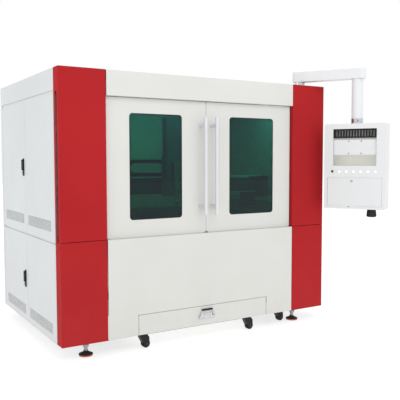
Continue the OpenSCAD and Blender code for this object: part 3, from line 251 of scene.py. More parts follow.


# %% [markdown]
# Powder coat is paint that was baked as dust, so its skin ripples like orange peel. From a
# distance only slow changes of tone are left, and over the lowest metre the tone shifts in blotches
# towards a duller one. The red shines less than the whites, so that the white tent doesn't turn it
# pink.

# %% Powder coats


def powder_coat(name, slot, colour, spread=0.025, gloss=0.38, floor_tone=(0.46, 0.43, 0.39), shine=0.5):
    """Paint with orange peel, slow drifts of tone, smudges and a blotchy shift of tone towards the
    floor.
    """
    finish = Finish(name, slot)
    drift = finish.noise(1.7, 3)
    peel = finish.noise(420, 2)
    grain = finish.noise(1900, 1)
    body = finish.mix(drift.over(0.3, 0.7), tone(colour, 1 - spread), tone(colour, 1 + spread))
    # The lowest metre shifts in blotches towards the floor tone, most at the floor: darker for the
    # whites, lighter for the dark coats.
    foot = finish.axis("Z").over(0.95, 0.05)
    low = foot * (0.08 + finish.noise(9, 5).over(0.42, 0.75) * foot * 0.12)
    smudge = finish.noise(14, 5).over(0.5, 0.8)
    skin = finish.bump(peel, 0.00022, 0.6)
    return finish.set(
        Base_Color=finish.mix(low, body, floor_tone),
        Roughness=gloss + smudge * 0.1 + grain * 0.06,
        Specular_IOR_Level=shine,
        Normal=finish.bump(grain, 0.00004, 0.5, skin),
    )


red = (0.396, 0.0195, 0.0225)
finishes = [
    powder_coat("warm_white_coat", "white_paint", (0.640, 0.645, 0.616)),
    powder_coat("cool_white_coat", "side_paint", (0.605, 0.626, 0.634)),
    powder_coat("signal_red_coat", "red_paint", red, 0.05, 0.5, (0.34, 0.07, 0.065), 0.02),
    powder_coat("dark_frame_coat", "frame_paint", (0.085, 0.09, 0.095), 0.1, 0.5),
    powder_coat("grey_bed_coat", "bed_paint", (0.24, 0.26, 0.27), 0.08, 0.45),
    powder_coat("graphite_coat", "graphite_paint", (0.028, 0.03, 0.033), 0.12, 0.42),
]
carriage_coat = powder_coat("blue_grey_coat", "graphite_paint", (0.20, 0.23, 0.28), 0.06, 0.42)
beam_coat = powder_coat("beam_anodising", "bar_aluminium", (0.045, 0.05, 0.06), 0.1, 0.4)
console_coat = powder_coat("console_white_coat", "white_paint", (0.715, 0.725, 0.735), 0.015)

# %% [markdown]
# Drawn aluminium carries fine lines along its length: noise, stretched until only its streaks are
# left, which feeds the roughness and a very shallow bump. Crossed and stained, the same idea makes
# ground steel.

# %% Brushed and ground metals
aluminium = Finish("satin_aluminium", "bar_aluminium")
streaks = aluminium.noise(1, 3, 0.6, aluminium.stretched(900, 900, 7))
haze = aluminium.noise(20, 4)
aluminium.set(
    Base_Color=aluminium.mix(streaks, (0.62, 0.63, 0.65), (0.77, 0.78, 0.81)),
    Metallic=0.5,
    Roughness=0.36 + streaks * 0.12 + haze * 0.06,
    Normal=aluminium.bump(streaks, 0.00005, 0.5),
)

ground = Finish("ground_steel", "ground_steel")
lines = ground.noise(1, 4, 0.6, ground.stretched(700, 12, 700))
stain = ground.noise(26, 5).over(0.45, 0.75)
bright_steel = ground.mix(lines, (0.5, 0.51, 0.53), (0.7, 0.71, 0.73))
ground.set(
    Base_Color=ground.mix(stain, bright_steel, (0.4, 0.37, 0.33)),
    Metallic=1.0,
    Roughness=0.24 + lines * 0.14 + stain * 0.2,
    Normal=ground.bump(lines, 0.00006, 0.6),
)

# %% [markdown]
# Chrome is a mirror that only needs the faint haze of wiping and a few hair-fine scratches, which
# cells with a sharp edge give. The zinc and blackened steel of small parts are simpler: one noise
# stains both their tone and their gloss.

# %% Plated metals
chrome = Finish("plated_chrome", "chrome")
wipe = chrome.noise(34, 5).over(0.4, 0.8)
scratch = chrome.cells(160, "Distance", chrome.stretched(1, 3, 0.4)).over(0.0, 0.02)
chrome.set(
    Base_Color=chrome.mix(wipe, (0.62, 0.63, 0.66), (0.46, 0.47, 0.50)),
    Metallic=1.0,
    Roughness=0.09 + wipe * 0.14 + (1 - scratch) * 0.08,
    Normal=chrome.bump(scratch, 0.00002, 0.4),
)


def stained_metal(name, slot, scale, colours, metallic, rough, relief):
    """Metal that one noise stains."""
    finish = Finish(name, slot)
    stain = finish.noise(scale, 4)
    return finish.set(
        Base_Color=finish.mix(stain, *colours),
        Metallic=metallic,
        Roughness=rough[0] + stain * rough[1],
        Normal=finish.bump(stain, relief, 0.5),
    )


dull_zinc = stained_metal(
    "dull_zinc", "chrome", 90, ((0.30, 0.31, 0.32), (0.46, 0.47, 0.48)), 0.9, (0.28, 0.25), 0.0001,
)
blackened = stained_metal(
    "blackened_steel", "black_plastic", 70, ((0.03, 0.03, 0.033), (0.07, 0.07, 0.075)),
    0.7, (0.3, 0.2), 0.00008,
)

# %% [markdown]
# Zinc freezes into spangles, flat crystals that each shine differently. Cells of two centimetres
# give each spangle its own tone and gloss, and a finer noise roughens them.

# %% Galvanised sheet
zinc = Finish("galvanised_sheet", "galvanised")
spangle = zinc.node("ShaderNodeSeparateColor", {"Color": zinc.cells(48)}, "Red")
frost = zinc.noise(260, 4)
zinc.set(
    Base_Color=zinc.mix(spangle, (0.47, 0.50, 0.49), (0.62, 0.65, 0.64)),
    Metallic=0.8,
    Roughness=0.34 + spangle * 0.16 + frost * 0.1,
    Normal=zinc.bump(frost, 0.00005, 0.5),
)

# %% [markdown]
# Every sheet that is cut over a slat scorches its tips blue and straw, and spatters beads on it
# that rust. Height above the floor places the scorching, and small cells make the beads.

# %% Slat steel
slat = Finish("scorched_slat_steel", "slat_steel")
rolled = slat.noise(1, 5, 0.6, slat.stretched(500, 30, 60))
height = slat.axis("Z") + slat.noise(60, 4) * 0.012
scorch = slat.ramp(
    height.over(0.905, 0.944),
    (0.0, (0.17, 0.165, 0.16)),
    (0.35, (0.22, 0.17, 0.12)),
    (0.6, (0.09, 0.10, 0.15)),
    (1.0, (0.05, 0.05, 0.055)),
)
rust = slat.noise(44, 6).over(0.55, 0.75)
beads = slat.cells(330, "Distance").over(0.35, 0.1)
strip = slat.mix(rolled * 0.3, scorch, (0.34, 0.33, 0.32))
slat.set(
    Base_Color=slat.mix(rust * 0.55, strip, (0.19, 0.08, 0.04)),
    Metallic=0.65,
    Roughness=0.42 + rolled * 0.2 + rust * 0.25,
    Normal=slat.bump(beads, 0.0008, 0.7, slat.bump(rolled, 0.00015, 0.5)),
)

# %% [markdown]
# The plastics and rubbers are close in tone, so they are told apart by their skin. Moulded plastic
# has a fine, even grain, a painted casting is lumpy, and rubber is dull and greys where it rolls.

# %% Plastics, rubbers and castings


def moulded(name, slot, colour, worn, grain, depth, rough, patches=18):
    """A cast or moulded skin with worn patches."""
    finish = Finish(name, slot)
    skin = finish.noise(grain, 3)
    patch = finish.noise(patches, 5).over(0.45, 0.8)
    speckle = finish.cells(grain * 0.7, "Distance")
    body = finish.mix(skin, tone(colour, 0.85), tone(colour, 1.15))
    return finish.set(
        Base_Color=finish.mix(patch * 0.7, body, worn),
        Roughness=rough + patch * 0.12 + skin * 0.1,
        Specular_IOR_Level=0.2,
        Normal=finish.bump(speckle, depth * 0.5, 0.5, finish.bump(skin, depth, 0.8)),
    )


finishes += [aluminium, ground, chrome, zinc, slat]
for skin in (
    ("grained_black_plastic", "black_plastic",
     (0.012, 0.012, 0.013), (0.03, 0.03, 0.032), 900, 0.0001, 0.34),
    ("black_rubber_skin", "black_rubber",
     (0.014, 0.014, 0.015), (0.05, 0.047, 0.045), 500, 0.00015, 0.68),
    ("orange_sole_rubber", "sole_rubber",
     (0.62, 0.12, 0.03), (0.38, 0.14, 0.08), 420, 0.0002, 0.6, 30),
    ("painted_foot_casting", "foot_casting",
     (0.022, 0.023, 0.026), (0.06, 0.06, 0.062), 190, 0.0004, 0.4),
):
    finishes.append(moulded(*skin))

# %% [markdown]
# The panes are deep green filters that stop the laser's stray light: clear solids whose colour
# does the filtering. A weak surface reflection keeps them dark, as a coated filter is, and a slow
# ripple makes each look like a sheet and not a hole. A faint dark blue glow of their own is painted
# light, a blue ground under what shows through them.

# %% Laser-safe panes
glass = Finish("green_filter_pane", "laser_glass")
ripple = glass.noise(3.2, 2)
film = glass.noise(11, 5).over(0.5, 0.9)
glass.set(
    Base_Color=glass.mix(glass.axis("Z").over(0.9, 1.7), (0.012, 0.30, 0.13), (0.02, 0.25, 0.19)),
    Roughness=0.02 + film * 0.03,
    IOR=1.32,
    Specular_IOR_Level=0.15,
    Transmission_Weight=1.0,
    # Painted light: the pane glows a faint dark blue, in blotches that follow the film.
    Emission_Color=glass.mix(film, (0.0, 0.0015, 0.006), (0.0, 0.002, 0.007)),
    Emission_Strength=1.0,
    Normal=glass.bump(ripple, 0.002, 0.2),
)
finishes.append(glass)
by_slot = {finish.slot: finish for finish in finishes}

# %% [markdown]
# Some pale sheets have to look brighter than the light that reaches them: the console's foil, the
# lamp's cover, the floor. Each glows a little, in the same pattern that varies its colour.

# %% Glowing sheets


def glowing(name, slot, noise, colours, glow, strength, rough=(0.4, 0.2), relief=(0.0006, 0.4)):
    """A pale sheet with some light of its own."""
    finish = Finish(name, slot)
    crinkle = finish.noise(*noise)
    return finish.set(
        Base_Color=finish.mix(crinkle, *colours),
        Emission_Color=finish.mix(crinkle, *glow),
        Emission_Strength=strength,
        Roughness=rough[0] + crinkle * rough[1],
        Normal=finish.bump(crinkle, *relief),
    )


# Painted light: the foil glows so that the console's recess looks pale inside.
foil = glowing(
    "bright_foil", "white_paint", (25, 4), ((0.70, 0.70, 0.64), (0.78, 0.78, 0.72)),
    ((0.86, 0.85, 0.76), (1.0, 0.99, 0.90)), 0.26,
)
# Painted light: the film glows so that the open button holes look pale.
pale = glowing(
    "pale_blanking_film", "white_paint", (25, 4), ((0.70, 0.70, 0.66), (0.78, 0.78, 0.74)),
    ((0.95, 0.95, 0.92), (1.0, 1.0, 0.98)), 0.5,
)
frosted = glowing(
    "frosted_lamp_cover", "black_plastic", (60, 3), ((0.8, 0.82, 0.8), (0.9, 0.92, 0.9)),
    ((0.9, 1.0, 0.94), (1.0, 1.0, 0.98)), 1.2, (0.5, 0.1), (0.0002, 0.4),
)
paper = glowing(
    "pale_floor", "white_paint", (3, 4), ((0.31,) * 3, (0.34,) * 3),
    ((0.98,) * 3, (1.0,) * 3), 0.74, (0.75, 0.1), (0.0004, 0.2),
)
rubber, plastic, white = (by_slot[s] for s in ("black_rubber", "black_plastic", "white_paint"))
cool = by_slot["side_paint"]

# %% [markdown]
# The record says which slot each solid's material belongs to, so dressing the solids is one loop.

# %% Dress the solids
for part in record["subparts"]:
    solid = frame["nodes"][part["node"]]
    solid.data.materials.clear()
    solid.data.materials.append(by_slot[part["material_slot"]].material)
for node in ("swing_arm", "console_case", "console_flap", "monitor_bar"):
    frame["nodes"][node].data.materials[0] = console_coat.material
frame["nodes"]["x_carriage"].data.materials[0] = carriage_coat.material
frame["nodes"]["gantry_beam"].data.materials[0] = beam_coat.material
print("dressed", len(record["subparts"]), "solids in", len(by_slot), "finishes")

# %% [markdown]
# ## Tools of the workshop
# New shapes are pressed, turned and cut at the origin with bmesh operators. `add` stamps one into
# a mould at any number of places. `release` turns the mould into an object, creases its sharp
# edges, gives it its finish and lets it ride on a body. `fit` does both for a piece that is one
# shape. A face of over four square centimetres counts as broad.

# %% Stamping and releasing
BROAD = 4 / 100 ** 2


def add(mould, shape, *places):
    """Copies a shape into a mould at each place, a matrix."""
    for place in places:
        sheet = bpy.data.meshes.new("stamp")
        shape.to_mesh(sheet)
        sheet.transform(place)
        mould.from_mesh(sheet)
        bpy.data.meshes.remove(sheet)
    return mould


def standing(x, y, z):
    """A matrix that moves a shape to a place and leaves it upright."""
    return Matrix.Translation(at(x, y, z))


def facing(direction, place, roll=0.0):
    """A matrix that turns a shape's +Z to a direction, keeps its +Y up and moves it to a place."""
    out = Vector(direction).normalized()
    right = Vector(BACK if abs(out.z) > 0.9 else UP).cross(out).normalized()
    turn = Matrix((right, out.cross(right), out)).transposed().to_4x4()
    return Matrix.Translation(place) @ turn @ Matrix.Rotation(roll, 4, "Z")


def release(name, mould, body, finish, crease=35):
    """Makes the mould's object, in its finish, riding on a body. Its broad faces stay flat."""
    bmesh.ops.recalc_face_normals(mould, faces=mould.faces)
    for face in mould.faces:
        face.smooth = face.calc_area() < BROAD
    for edge in mould.edges:
        if edge.is_manifold and edge.calc_face_angle(0.0) > math.radians(crease):
            edge.smooth = False
    mesh = bpy.data.meshes.new(name)
    mould.to_mesh(mesh)
    mould.free()
    mesh.materials.append(finish.material)
    piece = bpy.data.objects.new(name, mesh)
    scene.collection.objects.link(piece)
    if body:
        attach(piece, body)
    print(name, "has", len(mesh.polygons), "faces and rides on", body)
    return piece


def fit(name, body, finish, shape, *places, crease=35):
    """Releases a piece that is one shape at one or more places."""
    release(name, add(bmesh.new(), shape, *places), body, finish, crease)


# %% Basic shapes


def bevel(shape, geometry, offset, segments, affect="EDGES", **options):
    """Bevels edges or points by an offset in millimetres."""
    return bmesh.ops.bevel(
        shape, geom=geometry, offset=offset * MM, segments=segments, profile=0.5,
        affect=affect, material=-1, **options,
    )


def turned(profile, steps=24):
    """A lathe part: a profile of (radius, height) pairs in millimetres, spun about Z."""
    shape = bmesh.new()
    corners = [shape.verts.new((r * MM, 0, z * MM)) for r, z in profile]
    edges = [shape.edges.new(pair) for pair in zip(corners, corners[1:])]
    bmesh.ops.spin(
        shape, geom=corners + edges, cent=(0, 0, 0), axis=UP,
        angle=math.tau, steps=steps, use_merge=True,
    )
    bmesh.ops.remove_doubles(shape, verts=shape.verts, dist=1e-6)
    return shape


def sheet_blank(width_mm, height_mm, radius=0.0, steps=5):
    """A flat blank in the XY plane with rounded corners."""
    shape = bmesh.new()
    bmesh.ops.create_grid(shape, x_segments=1, y_segments=1, size=0.5)
    bmesh.ops.scale(shape, vec=(width_mm * MM, height_mm * MM, 1), verts=shape.verts)
    if radius:
        bevel(shape, list(shape.verts), radius, steps, "VERTICES")
    return shape


def thicken(shape, depth):
    """Extrudes all faces up along Z, in millimetres."""
    grown = bmesh.ops.extrude_face_region(shape, geom=list(shape.faces))
    moved = [v for v in grown["geom"] if isinstance(v, bmesh.types.BMVert)]
    bmesh.ops.translate(shape, vec=(0, 0, depth * MM), verts=moved)
    return shape


def soften(shape, offset, segments=2, angle=50):
    """Bevels the sharp edges."""
    least = math.radians(angle)
    sharp = [e for e in shape.edges if e.is_manifold and e.calc_face_angle(0.0) > least]
    bevel(shape, sharp, offset, segments)
    return shape


def block(x, y, z, soft=0.8, segments=2):
    """A softened block that stands on Z = 0."""
    return soften(thicken(sheet_blank(x, y), z), soft, segments)


def rim(width_mm, height_mm, radius, wide, deep, soft=0.0):
    """A frame with rounded corners, as a seal or bezel is."""
    shape = sheet_blank(width_mm, height_mm, radius, 8)
    middle = list(shape.faces)
    bmesh.ops.inset_region(
        shape, faces=middle, thickness=wide * MM, use_boundary=True, use_even_offset=True,
    )
    bmesh.ops.delete(shape, geom=middle, context="FACES")
    thicken(shape, deep)
    return soften(shape, soft) if soft else shape


# %% [markdown]
# A screw is seen hundreds of times and never large, so it has only a few dozen faces: a low head
# with a sunk socket, and for a bolt a six-sided head on a washer.

# %% Screws and bolts


def screw_head(radius, height):
    """A button head with a sunk socket."""
    profile = [
        (0, height * 0.35), (radius * 0.42, height * 0.35), (radius * 0.5, height * 0.98),
        (radius * 0.8, height * 0.85), (radius, height * 0.35), (radius, 0),
    ]
    return turned(profile, 12)


def hex_bolt(radius, height, washer):
    """A hex head with a chamfer, on a washer."""
    shape = bmesh.new()
    bmesh.ops.create_cone(
        shape, cap_ends=True, segments=6, radius1=radius * MM, radius2=radius * MM,
        depth=height * MM,
    )
    bmesh.ops.translate(shape, vec=(0, 0, (washer + height / 2) * MM), verts=shape.verts)
    crown = (washer + height * 0.9) * MM
    bevel(shape, [e for e in shape.edges if all(v.co.z > crown for v in e.verts)], radius * 0.14, 1)
    inner, outer = radius * 0.5, radius * 1.2
    ring = turned([(inner, 0), (inner, washer), (outer, washer), (radius * 1.25, 0)], 16)
    return add(shape, ring, Matrix())


print("tools ready")

# %% [markdown]
# ## Sheet metal
# A press brake can't fold a sheet to a knife edge, and the thin line of light on a fold is what
# makes a cover look like folded steel. The front's covers come with wide rolled corners, but the
# side and rear ones with sharp folds. A copy of each of these is welded, its flat areas are made
# whole, and its long outer folds are bevelled. The sheet's cut rims are too narrow to count.

# %% Rolled folds
FOLD_RADIUS, LEAST, NARROW = 2.0, 60, 4.5
bodies = record["behaviour"]["bodies"]
carrier = {node: body for body, nodes in bodies.items() for node in nodes}
slot_of = {part["node"]: part["material_slot"] for part in record["subparts"]}


def merged(node):
    """A copy of a solid's mesh, welded."""
    mould = bmesh.new()
    mould.from_mesh(frame["nodes"][node].data)
    bmesh.ops.remove_doubles(mould, verts=mould.verts, dist=2e-6)
    return mould


def cover(node, mould):
    """Replaces a solid by its copy, whose long outer folds between broad faces are rolled."""
    flat = math.radians(1)
    bmesh.ops.dissolve_limit(mould, angle_limit=flat, verts=mould.verts, edges=mould.edges)
    folds = [
        edge for edge in mould.edges
        if edge.is_manifold and edge.calc_length() > LEAST * MM
        and edge.calc_face_angle_signed(0.0) > math.radians(60)
        and min(face.calc_area() for face in edge.link_faces) > NARROW * MM * edge.calc_length()
    ]
    count = len(folds)
    bevel(mould, folds, FOLD_RADIUS, 3, clamp_overlap=True)
    piece = release(node + "_rolled", mould, carrier[node], by_slot[slot_of[node]], 40)
    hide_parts(node)
    print("  with", count, "rolled folds")


for node in ("right_side_panels", "rear_panels"):
    cover(node, merged(node))

# %% [markdown]
# The service doors on the left breathe through fields of punched holes in staggered rows. The
# sheet starts as a grid of half cells. Bevelling its points at the hole centres turns each into a
# small patch, and deleting the patches punches all the holes at once. Each quad is first split
# towards its hole, so that the patch has eight sides. In the door, the solid's coarse slots are
# cut away with four planes to make room, and a mat of dark filter foam lies behind.

# %% Perforated service doors
PITCH, HOLE = 9, 3.15
WIDE, HIGH, THICK, SHEET, FILTER_BEHIND = 562, 78, 0.7, 3, 7


def perforated(width_mm, height_mm, depth):
    """A sheet with staggered holes of eight sides."""
    columns, rows = 2 * round(width_mm / PITCH), 2 * round(height_mm / PITCH)
    shape = bmesh.new()
    bmesh.ops.create_grid(shape, x_segments=columns, y_segments=rows, size=0.5)

    def is_centre(vert):
        column, row = round((vert.co.x + 0.5) * columns), round((vert.co.y + 0.5) * rows)
        return row % 2 and (column + row // 2) % 2 and not vert.is_boundary

    centres = list(filter(is_centre, shape.verts))
    marked = set(centres)
    for face in list(shape.faces):
        for i, vert in enumerate(face.verts):
            if vert in marked:
                bmesh.utils.face_split(face, vert, face.verts[(i + 2) % 4])
                break
    bmesh.ops.scale(shape, vec=(width_mm * MM, height_mm * MM, 1), verts=shape.verts)
    punched = bevel(shape, centres, HOLE, 1, "VERTICES")
    bmesh.ops.delete(shape, geom=punched["faces"], context="FACES")
    return thicken(shape, depth)


def cut_window(mould, low, high, deep):
    """Cuts a rectangle out of the outer sheet at the cabinet's left, and closes its edge."""
    for corner, way in ((low, -1), (high, 1)):
        for axis in (1, 2):
            normal = Vector((0, 0, 0))
            normal[axis] = way
            bmesh.ops.bisect_plane(
                mould, geom=[*mould.verts, *mould.edges, *mould.faces],
                plane_co=corner, plane_no=normal, dist=1e-7,
            )
    inside = []
    for face in mould.faces:
        x, y, z = face.calc_center_median()
        if x < low.x + deep * MM and low.y < y < high.y and low.z < z < high.z:
            inside.append(face)
    bmesh.ops.delete(mould, geom=inside, context="FACES")
    bmesh.ops.bridge_loops(mould, edges=[edge for edge in mould.edges if edge.is_boundary])


screen, mat = perforated(WIDE, HIGH, THICK), block(WIDE - 4, HIGH - 4, 4, 1)
for node, vent_y, vent_z in (
    ("upper_front_door", 192, 867), ("upper_rear_door", 860, 867),
    ("lower_front_door", 192, 147), ("lower_rear_door", 860, 147),
):
    mould, body = merged(node), carrier[node]
    low, high = at(0, vent_y, vent_z), at(0, vent_y + WIDE, vent_z + HIGH)
    cut_window(mould, low, high, SHEET)
    cover(node, mould)
    middle = (low + high) / 2 + Vector((THICK * MM, 0, 0))
    behind = middle + Vector((FILTER_BEHIND * MM, 0, 0))
    fit(node.replace("door", "vent"), body, cool, screen, facing(LEFT, middle), crease=40)
    fit(node.replace("door", "filter"), body, rubber, mat, facing(LEFT, behind))

# %% [markdown]
# Three pale strips on the frame close the grooves above, between and below the service doors. A
# fourth covers the frame's lower tube, which is dark.

# %% Groove strips
for name, length, x, z, height, thick in (
    ("top", 1376, 8, 1819.4, 19.4, 3), ("middle", 1330, 9, 795, 12.4, 3),
    ("sill", 1376, 4.5, 108.3, 12, 3), ("tube", 1376, 25.9, 92.4, 14.2, 0.8),
):
    strip = block(length, height, thick, 0.3)
    fit(f"{name}_groove_strip", "cabinet", white, strip, facing(LEFT, at(x, 797, z)))

# %% [markdown]
# The electrical plate is one solid of many blocks, but its gear isn't made of zinc. Each kind has
# its own depth and is known by it, and a thin skin gives it the finish of its housing.

# %% Housings on the electrical plate
PLATE_X, SAME_KIND, SKIN = 280.7, 4, 0.5
housings = {
    60: ("cable_ducts", by_slot["bed_paint"]),
    75: ("contactors", plastic),
    80: ("controller", cool),
    95: ("power_supplies", aluminium),
    110: ("servo_drives", by_slot["graphite_paint"]),
}


def islands(mould):
    """The separate solids of a mould, as lists of faces."""
    left, found = set(mould.faces), []
    while left:
        solid = [left.pop()]
        for face in solid:
            near = {other for edge in face.edges for other in edge.link_faces} & left
            left -= near
            solid += near
        found.append(solid)
    return found


plate, plate_x = merged("control_plate"), at(PLATE_X, 0, 0).x
kinds = {depth: set() for depth in housings}
for solid in islands(plate):
    depth = (plate_x - min(vert.co.x for face in solid for vert in face.verts)) / MM
    closest = min(housings, key=lambda kind: abs(kind - depth))
    if abs(closest - depth) < SAME_KIND:
        kinds[closest].update(face.index for face in solid)
for depth, (name, finish) in housings.items():
    skin = plate.copy()
    others = [face for face in skin.faces if face.index not in kinds[depth]]
    bmesh.ops.delete(skin, geom=others, context="FACES")
    skin.normal_update()
    for vert in skin.verts:
        vert.co += vert.normal * SKIN * MM
    release(name + "_housing", skin, "cabinet", finish)

# %% [markdown]
# The laser source stands behind the lower service doors. A rack unit like it has a fan grille at
# each end of its front, a status window between them and a key switch.

# %% The laser source's front


def on_source(y, z):
    """A matrix onto the source's front, which looks left."""
    return facing(LEFT, at(12.0, y, z))


grille = perforated(180, 180, 0.9)
fit("source_fan_grilles", "cabinet", zinc, grille, on_source(420, 420), on_source(960, 420))
mould = add(bmesh.new(), rim(190, 70, 5, 7, 2.2, 0.4), on_source(690, 470))
add(mould, thicken(sheet_blank(178, 58), 0.9), on_source(690, 470))
release("source_status_window", mould, "cabinet", plastic)
barrel = turned([(12, 0), (12, 2.4), (11, 3.2), (7, 3.2), (7, 2.2), (0, 2.2)], 32)
mould = add(bmesh.new(), barrel, on_source(690, 385))
add(mould, block(2, 9, 1.2, 0.2), on_source(690, 385) @ Matrix.Translation((0, 0, 2.1 * MM)))
release("source_key_switch", mould, "cabinet", chrome)

# %% [markdown]
# ## Front doors
# Each pane is held by a black rubber profile, a thin dark line round the rounded corners. It is
# cut as a blank, inset to its width and extruded, and a bevel makes the edge that catches light.

# %% Window seals
WINDOW_WIDTH, WINDOW_HEIGHT, CORNER, WINDOW_LOW, PLAY = 427, 759, 25, 935, 0.6
seal = rim(WINDOW_WIDTH - PLAY, WINDOW_HEIGHT - PLAY, CORNER - PLAY / 2, 5.5, 3.2, 0.9)
for side, window_x in (("left", 734), ("right", 1586)):
    place = facing(FRONT, at(window_x, 31.9, WINDOW_LOW + WINDOW_HEIGHT / 2))
    fit(f"{side}_window_seal", f"{side}_door", rubber, seal, place)

# %% [markdown]
# The pull bars are tubes of satin aluminium. Turned plugs close their ends, and each standoff ends
# in a turned collar that hides the cut in the sheet and carries a small grub screw.

# %% Bar plugs and collars
BAR_Y, BAR_FOOT, BAR_TOP, STANDOFFS = -44, 950, 1681, (1008, 1623)
plug = turned([(0, 1.6), (11.5, 1.6), (13.4, 0.9), (14.2, 0), (14.2, -6), (0, -6)], 28)
collar = turned([(16.3, 0), (16.3, 3.6), (18.2, 3.6), (19.6, 2.4), (20, 0)], 28)
grub = screw_head(1.8, 0.8)
for side, bar_x in (("left", 1110), ("right", 1210)):
    mould = add(bmesh.new(), plug, facing(UP, at(bar_x, BAR_Y, BAR_TOP)))
    add(mould, plug, facing(DOWN, at(bar_x, BAR_Y, BAR_FOOT)))
    for standoff_z in STANDOFFS:
        add(mould, collar, facing(FRONT, at(bar_x, 30, standoff_z)))
        add(mould, grub, facing(DOWN, at(bar_x, 10, standoff_z - 15.9)))
    release(f"{side}_bar_fittings", mould, f"{side}_door", aluminium)

# %% [markdown]
# A soft lip on the left leaf closes the gap between the two and keeps stray light in, and a folded
# sweep along each leaf's foot does the same. Both are pale and nearly flush, so the gaps read as
# fine grey lines. Thin black strips in the scrap drawer's side gaps and along its foot are painted
# shade, which makes those gaps read dark.

# %% Door seals and drawer shade strips
# Painted shade: black strips at the sides of the drawer opening and under the drawer's foot darken
# its gaps.
sides = [standing(x, 6, 105) for x in (568.4, 1718.4)]
fit("drawer_gap_shade_strips", "cabinet", rubber, block(1.6, 6, 143, 0.4), *sides)
fit("drawer_foot_shade_strip", "drawer", rubber, block(887, 5, 2.4, 0.4), standing(1021.5, 4.5, 100.5))
fit("meeting_lip", "left_door", cool, block(4.2, 6, 965, 1.2), standing(CENTRE, 35.4, 822))
sweep = block(790, 11, 1.6, 0.4)
for side, sweep_x in (("left", 748), ("right", 1572)):
    place = facing(FRONT, at(sweep_x, 31.4, 814.2))
    fit(f"{side}_door_sweep", f"{side}_door", white, sweep, place)

# %% [markdown]
# ## Swing latches
# The side doors close with swing latches: a dish, a lever that folds into it, and a key cylinder
# below. The cylinder's cap is turned like a thimble, and its keyway is a small dark block.

# %% Latch rims, caps and keyways
LATCH_Y, KEY_BELOW = 850, 48
rim_ring = rim(33.4, 137.4, 16.6, 3.0, 2.2, 0.8)
thimble = [(9.9, 0), (10.7, 0.2), (10.9, 6.4), (10.1, 7.6), (7.6, 7.9), (7.2, 7.3), (0, 7.3)]
cap = turned(thimble, 28)
keyway = block(1.5, 6.4, 0.5, 0.2, 1)
for level, latch_z in (("upper", 1309), ("lower", 437)):
    leaf, key_z = f"{level}_rear_leaf", latch_z - KEY_BELOW
    fit(f"{level}_latch_rim", leaf, plastic, rim_ring, facing(LEFT, at(-0.3, LATCH_Y, latch_z)))
    fit(f"{level}_latch_cap", leaf, chrome, cap, facing(LEFT, at(-8.6, LATCH_Y, key_z)))
    fit(f"{level}_latch_keyway", leaf, rubber, keyway, facing(LEFT, at(-15.8, LATCH_Y, key_z)))

# %% [markdown]
# ## Feet and casters
# A levelling foot is a threaded spindle in a cast disc, with a lock nut under the frame and a
# bright neck over its ball joint. The thread is a row of small cones, one for each turn, and the
# six-sided nut is a lathe profile spun in six steps.

# %% Foot threads and nuts
TURNS, LEAD = 22, 2.0
turns = [(8.05, 0.0)]
for i in range(TURNS):
    turns += [(8.75, 0.6 + i * LEAD), (8.05, 1.6 + i * LEAD)]
stack = (
    (turned(turns, 20), 37),
    (turned([(8.8, 22), (11, 22), (12.6, 18), (13.2, 8), (16.5, 1.5), (18, -0.4)], 28), 36.4),
    (turned([(8.8, 0), (19.6, 0), (22.6, 1.6), (22.6, 15.4), (19.6, 17), (8.8, 17)], 6), 60),
    (turned([(8.8, 0), (23.4, 0), (23.4, 2.4), (8.8, 2.4)], 36), 77.4),
)
mould = bmesh.new()
for spot in ((195, 78), (2050, 76), (195, 1494), (2125, 1494)):
    for shape, z in stack:
        add(mould, shape, standing(*spot, z))
release("foot_spindles", mould, "cabinet", dull_zinc)

# %% [markdown]
# Each hooded caster carries its wheel on a bolt of blackened steel, and two zinc bolts hold its
# plate to the drawer or the frame.

# %% Caster bolts
axle_head = hex_bolt(7.2, 4.2, 1.4)
plate_bolt = hex_bolt(4.6, 3.0, 0.9)
TRAIL, AXLE_Z, HALF_HOOD = 28, 31, 22.6
for name, x, y, holder, plate_z in (
    ("left_caster", 604, 26, "drawer", 102.7),
    ("middle_caster", 1533, 26, "drawer", 102.7),
    ("right_caster", 1911, 106, "cabinet", 94.2),
):
    ends = ((FRONT, y - HALF_HOOD), (BACK, y + HALF_HOOD))
    heads = [facing(way, at(x + TRAIL, head_y, AXLE_Z)) for way, head_y in ends]
    fit(f"{name}_bolts", name, blackened, axle_head, *heads)
    bolts = [facing(DOWN, at(x + 38, y + ahead, plate_z)) for ahead in (-3, 21)]
    fit(f"{name}_plate_bolts", holder, zinc, plate_bolt, *bolts)

# %% [markdown]
# ## Console
# The console is turned to the operator, so its details are placed in its own axes: X along its
# face, Y into it. One matrix carries them to the end of the arm.

# %% The console's axes
ARM_TURN, REACH = -59, 0.491
FACE, BAR_FACE, REAR_FACE = -73, -59, 73
arm = standing(width - 165, 120, 0) @ Matrix.Rotation(math.radians(ARM_TURN), 4, "Z")
console = arm @ Matrix.Translation((REACH, 0, 0))


def on_console(x, y, z, direction=FRONT, roll=0.0):
    """A place on the console, whose shape's +Z faces a direction in its axes."""
    return console @ facing(direction, Vector((x, y, z)) * MM, roll)


print("console's middle at", console.translation)

# %% [markdown]
# A chromed clamp collar joins the console to the drop tube. Its beads are turned, and its screws
# sit in turned dark cups.

# %% Clamp collar
bead = turned([(48.6, 0), (49.7, 0.6), (49.7, 4.4), (48.6, 5)], 40)
fit("collar_beads", "console", chrome, bead, *(on_console(0, 0, z, UP) for z in (1655.6, 1691.4)))
pocket = turned([(0, 0.6), (3.4, 0.6), (4.6, 1.5), (5.2, 0)], 14)
mould = bmesh.new()
for angle in (-112, -68, 68, 112):
    across, along = math.cos(math.radians(angle)), math.sin(math.radians(angle))
    add(mould, pocket, on_console(48.2 * across, 48.2 * along, 1676, (across, along, 0)))
release("collar_screws", mould, "console", plastic)

# %% [markdown]
# On the face a cam lock holds the keyboard flap, and a small dark catch sits under its lower edge.
# The back cover has rows of screws, and the monitor's bar has four beside its mounting holes.

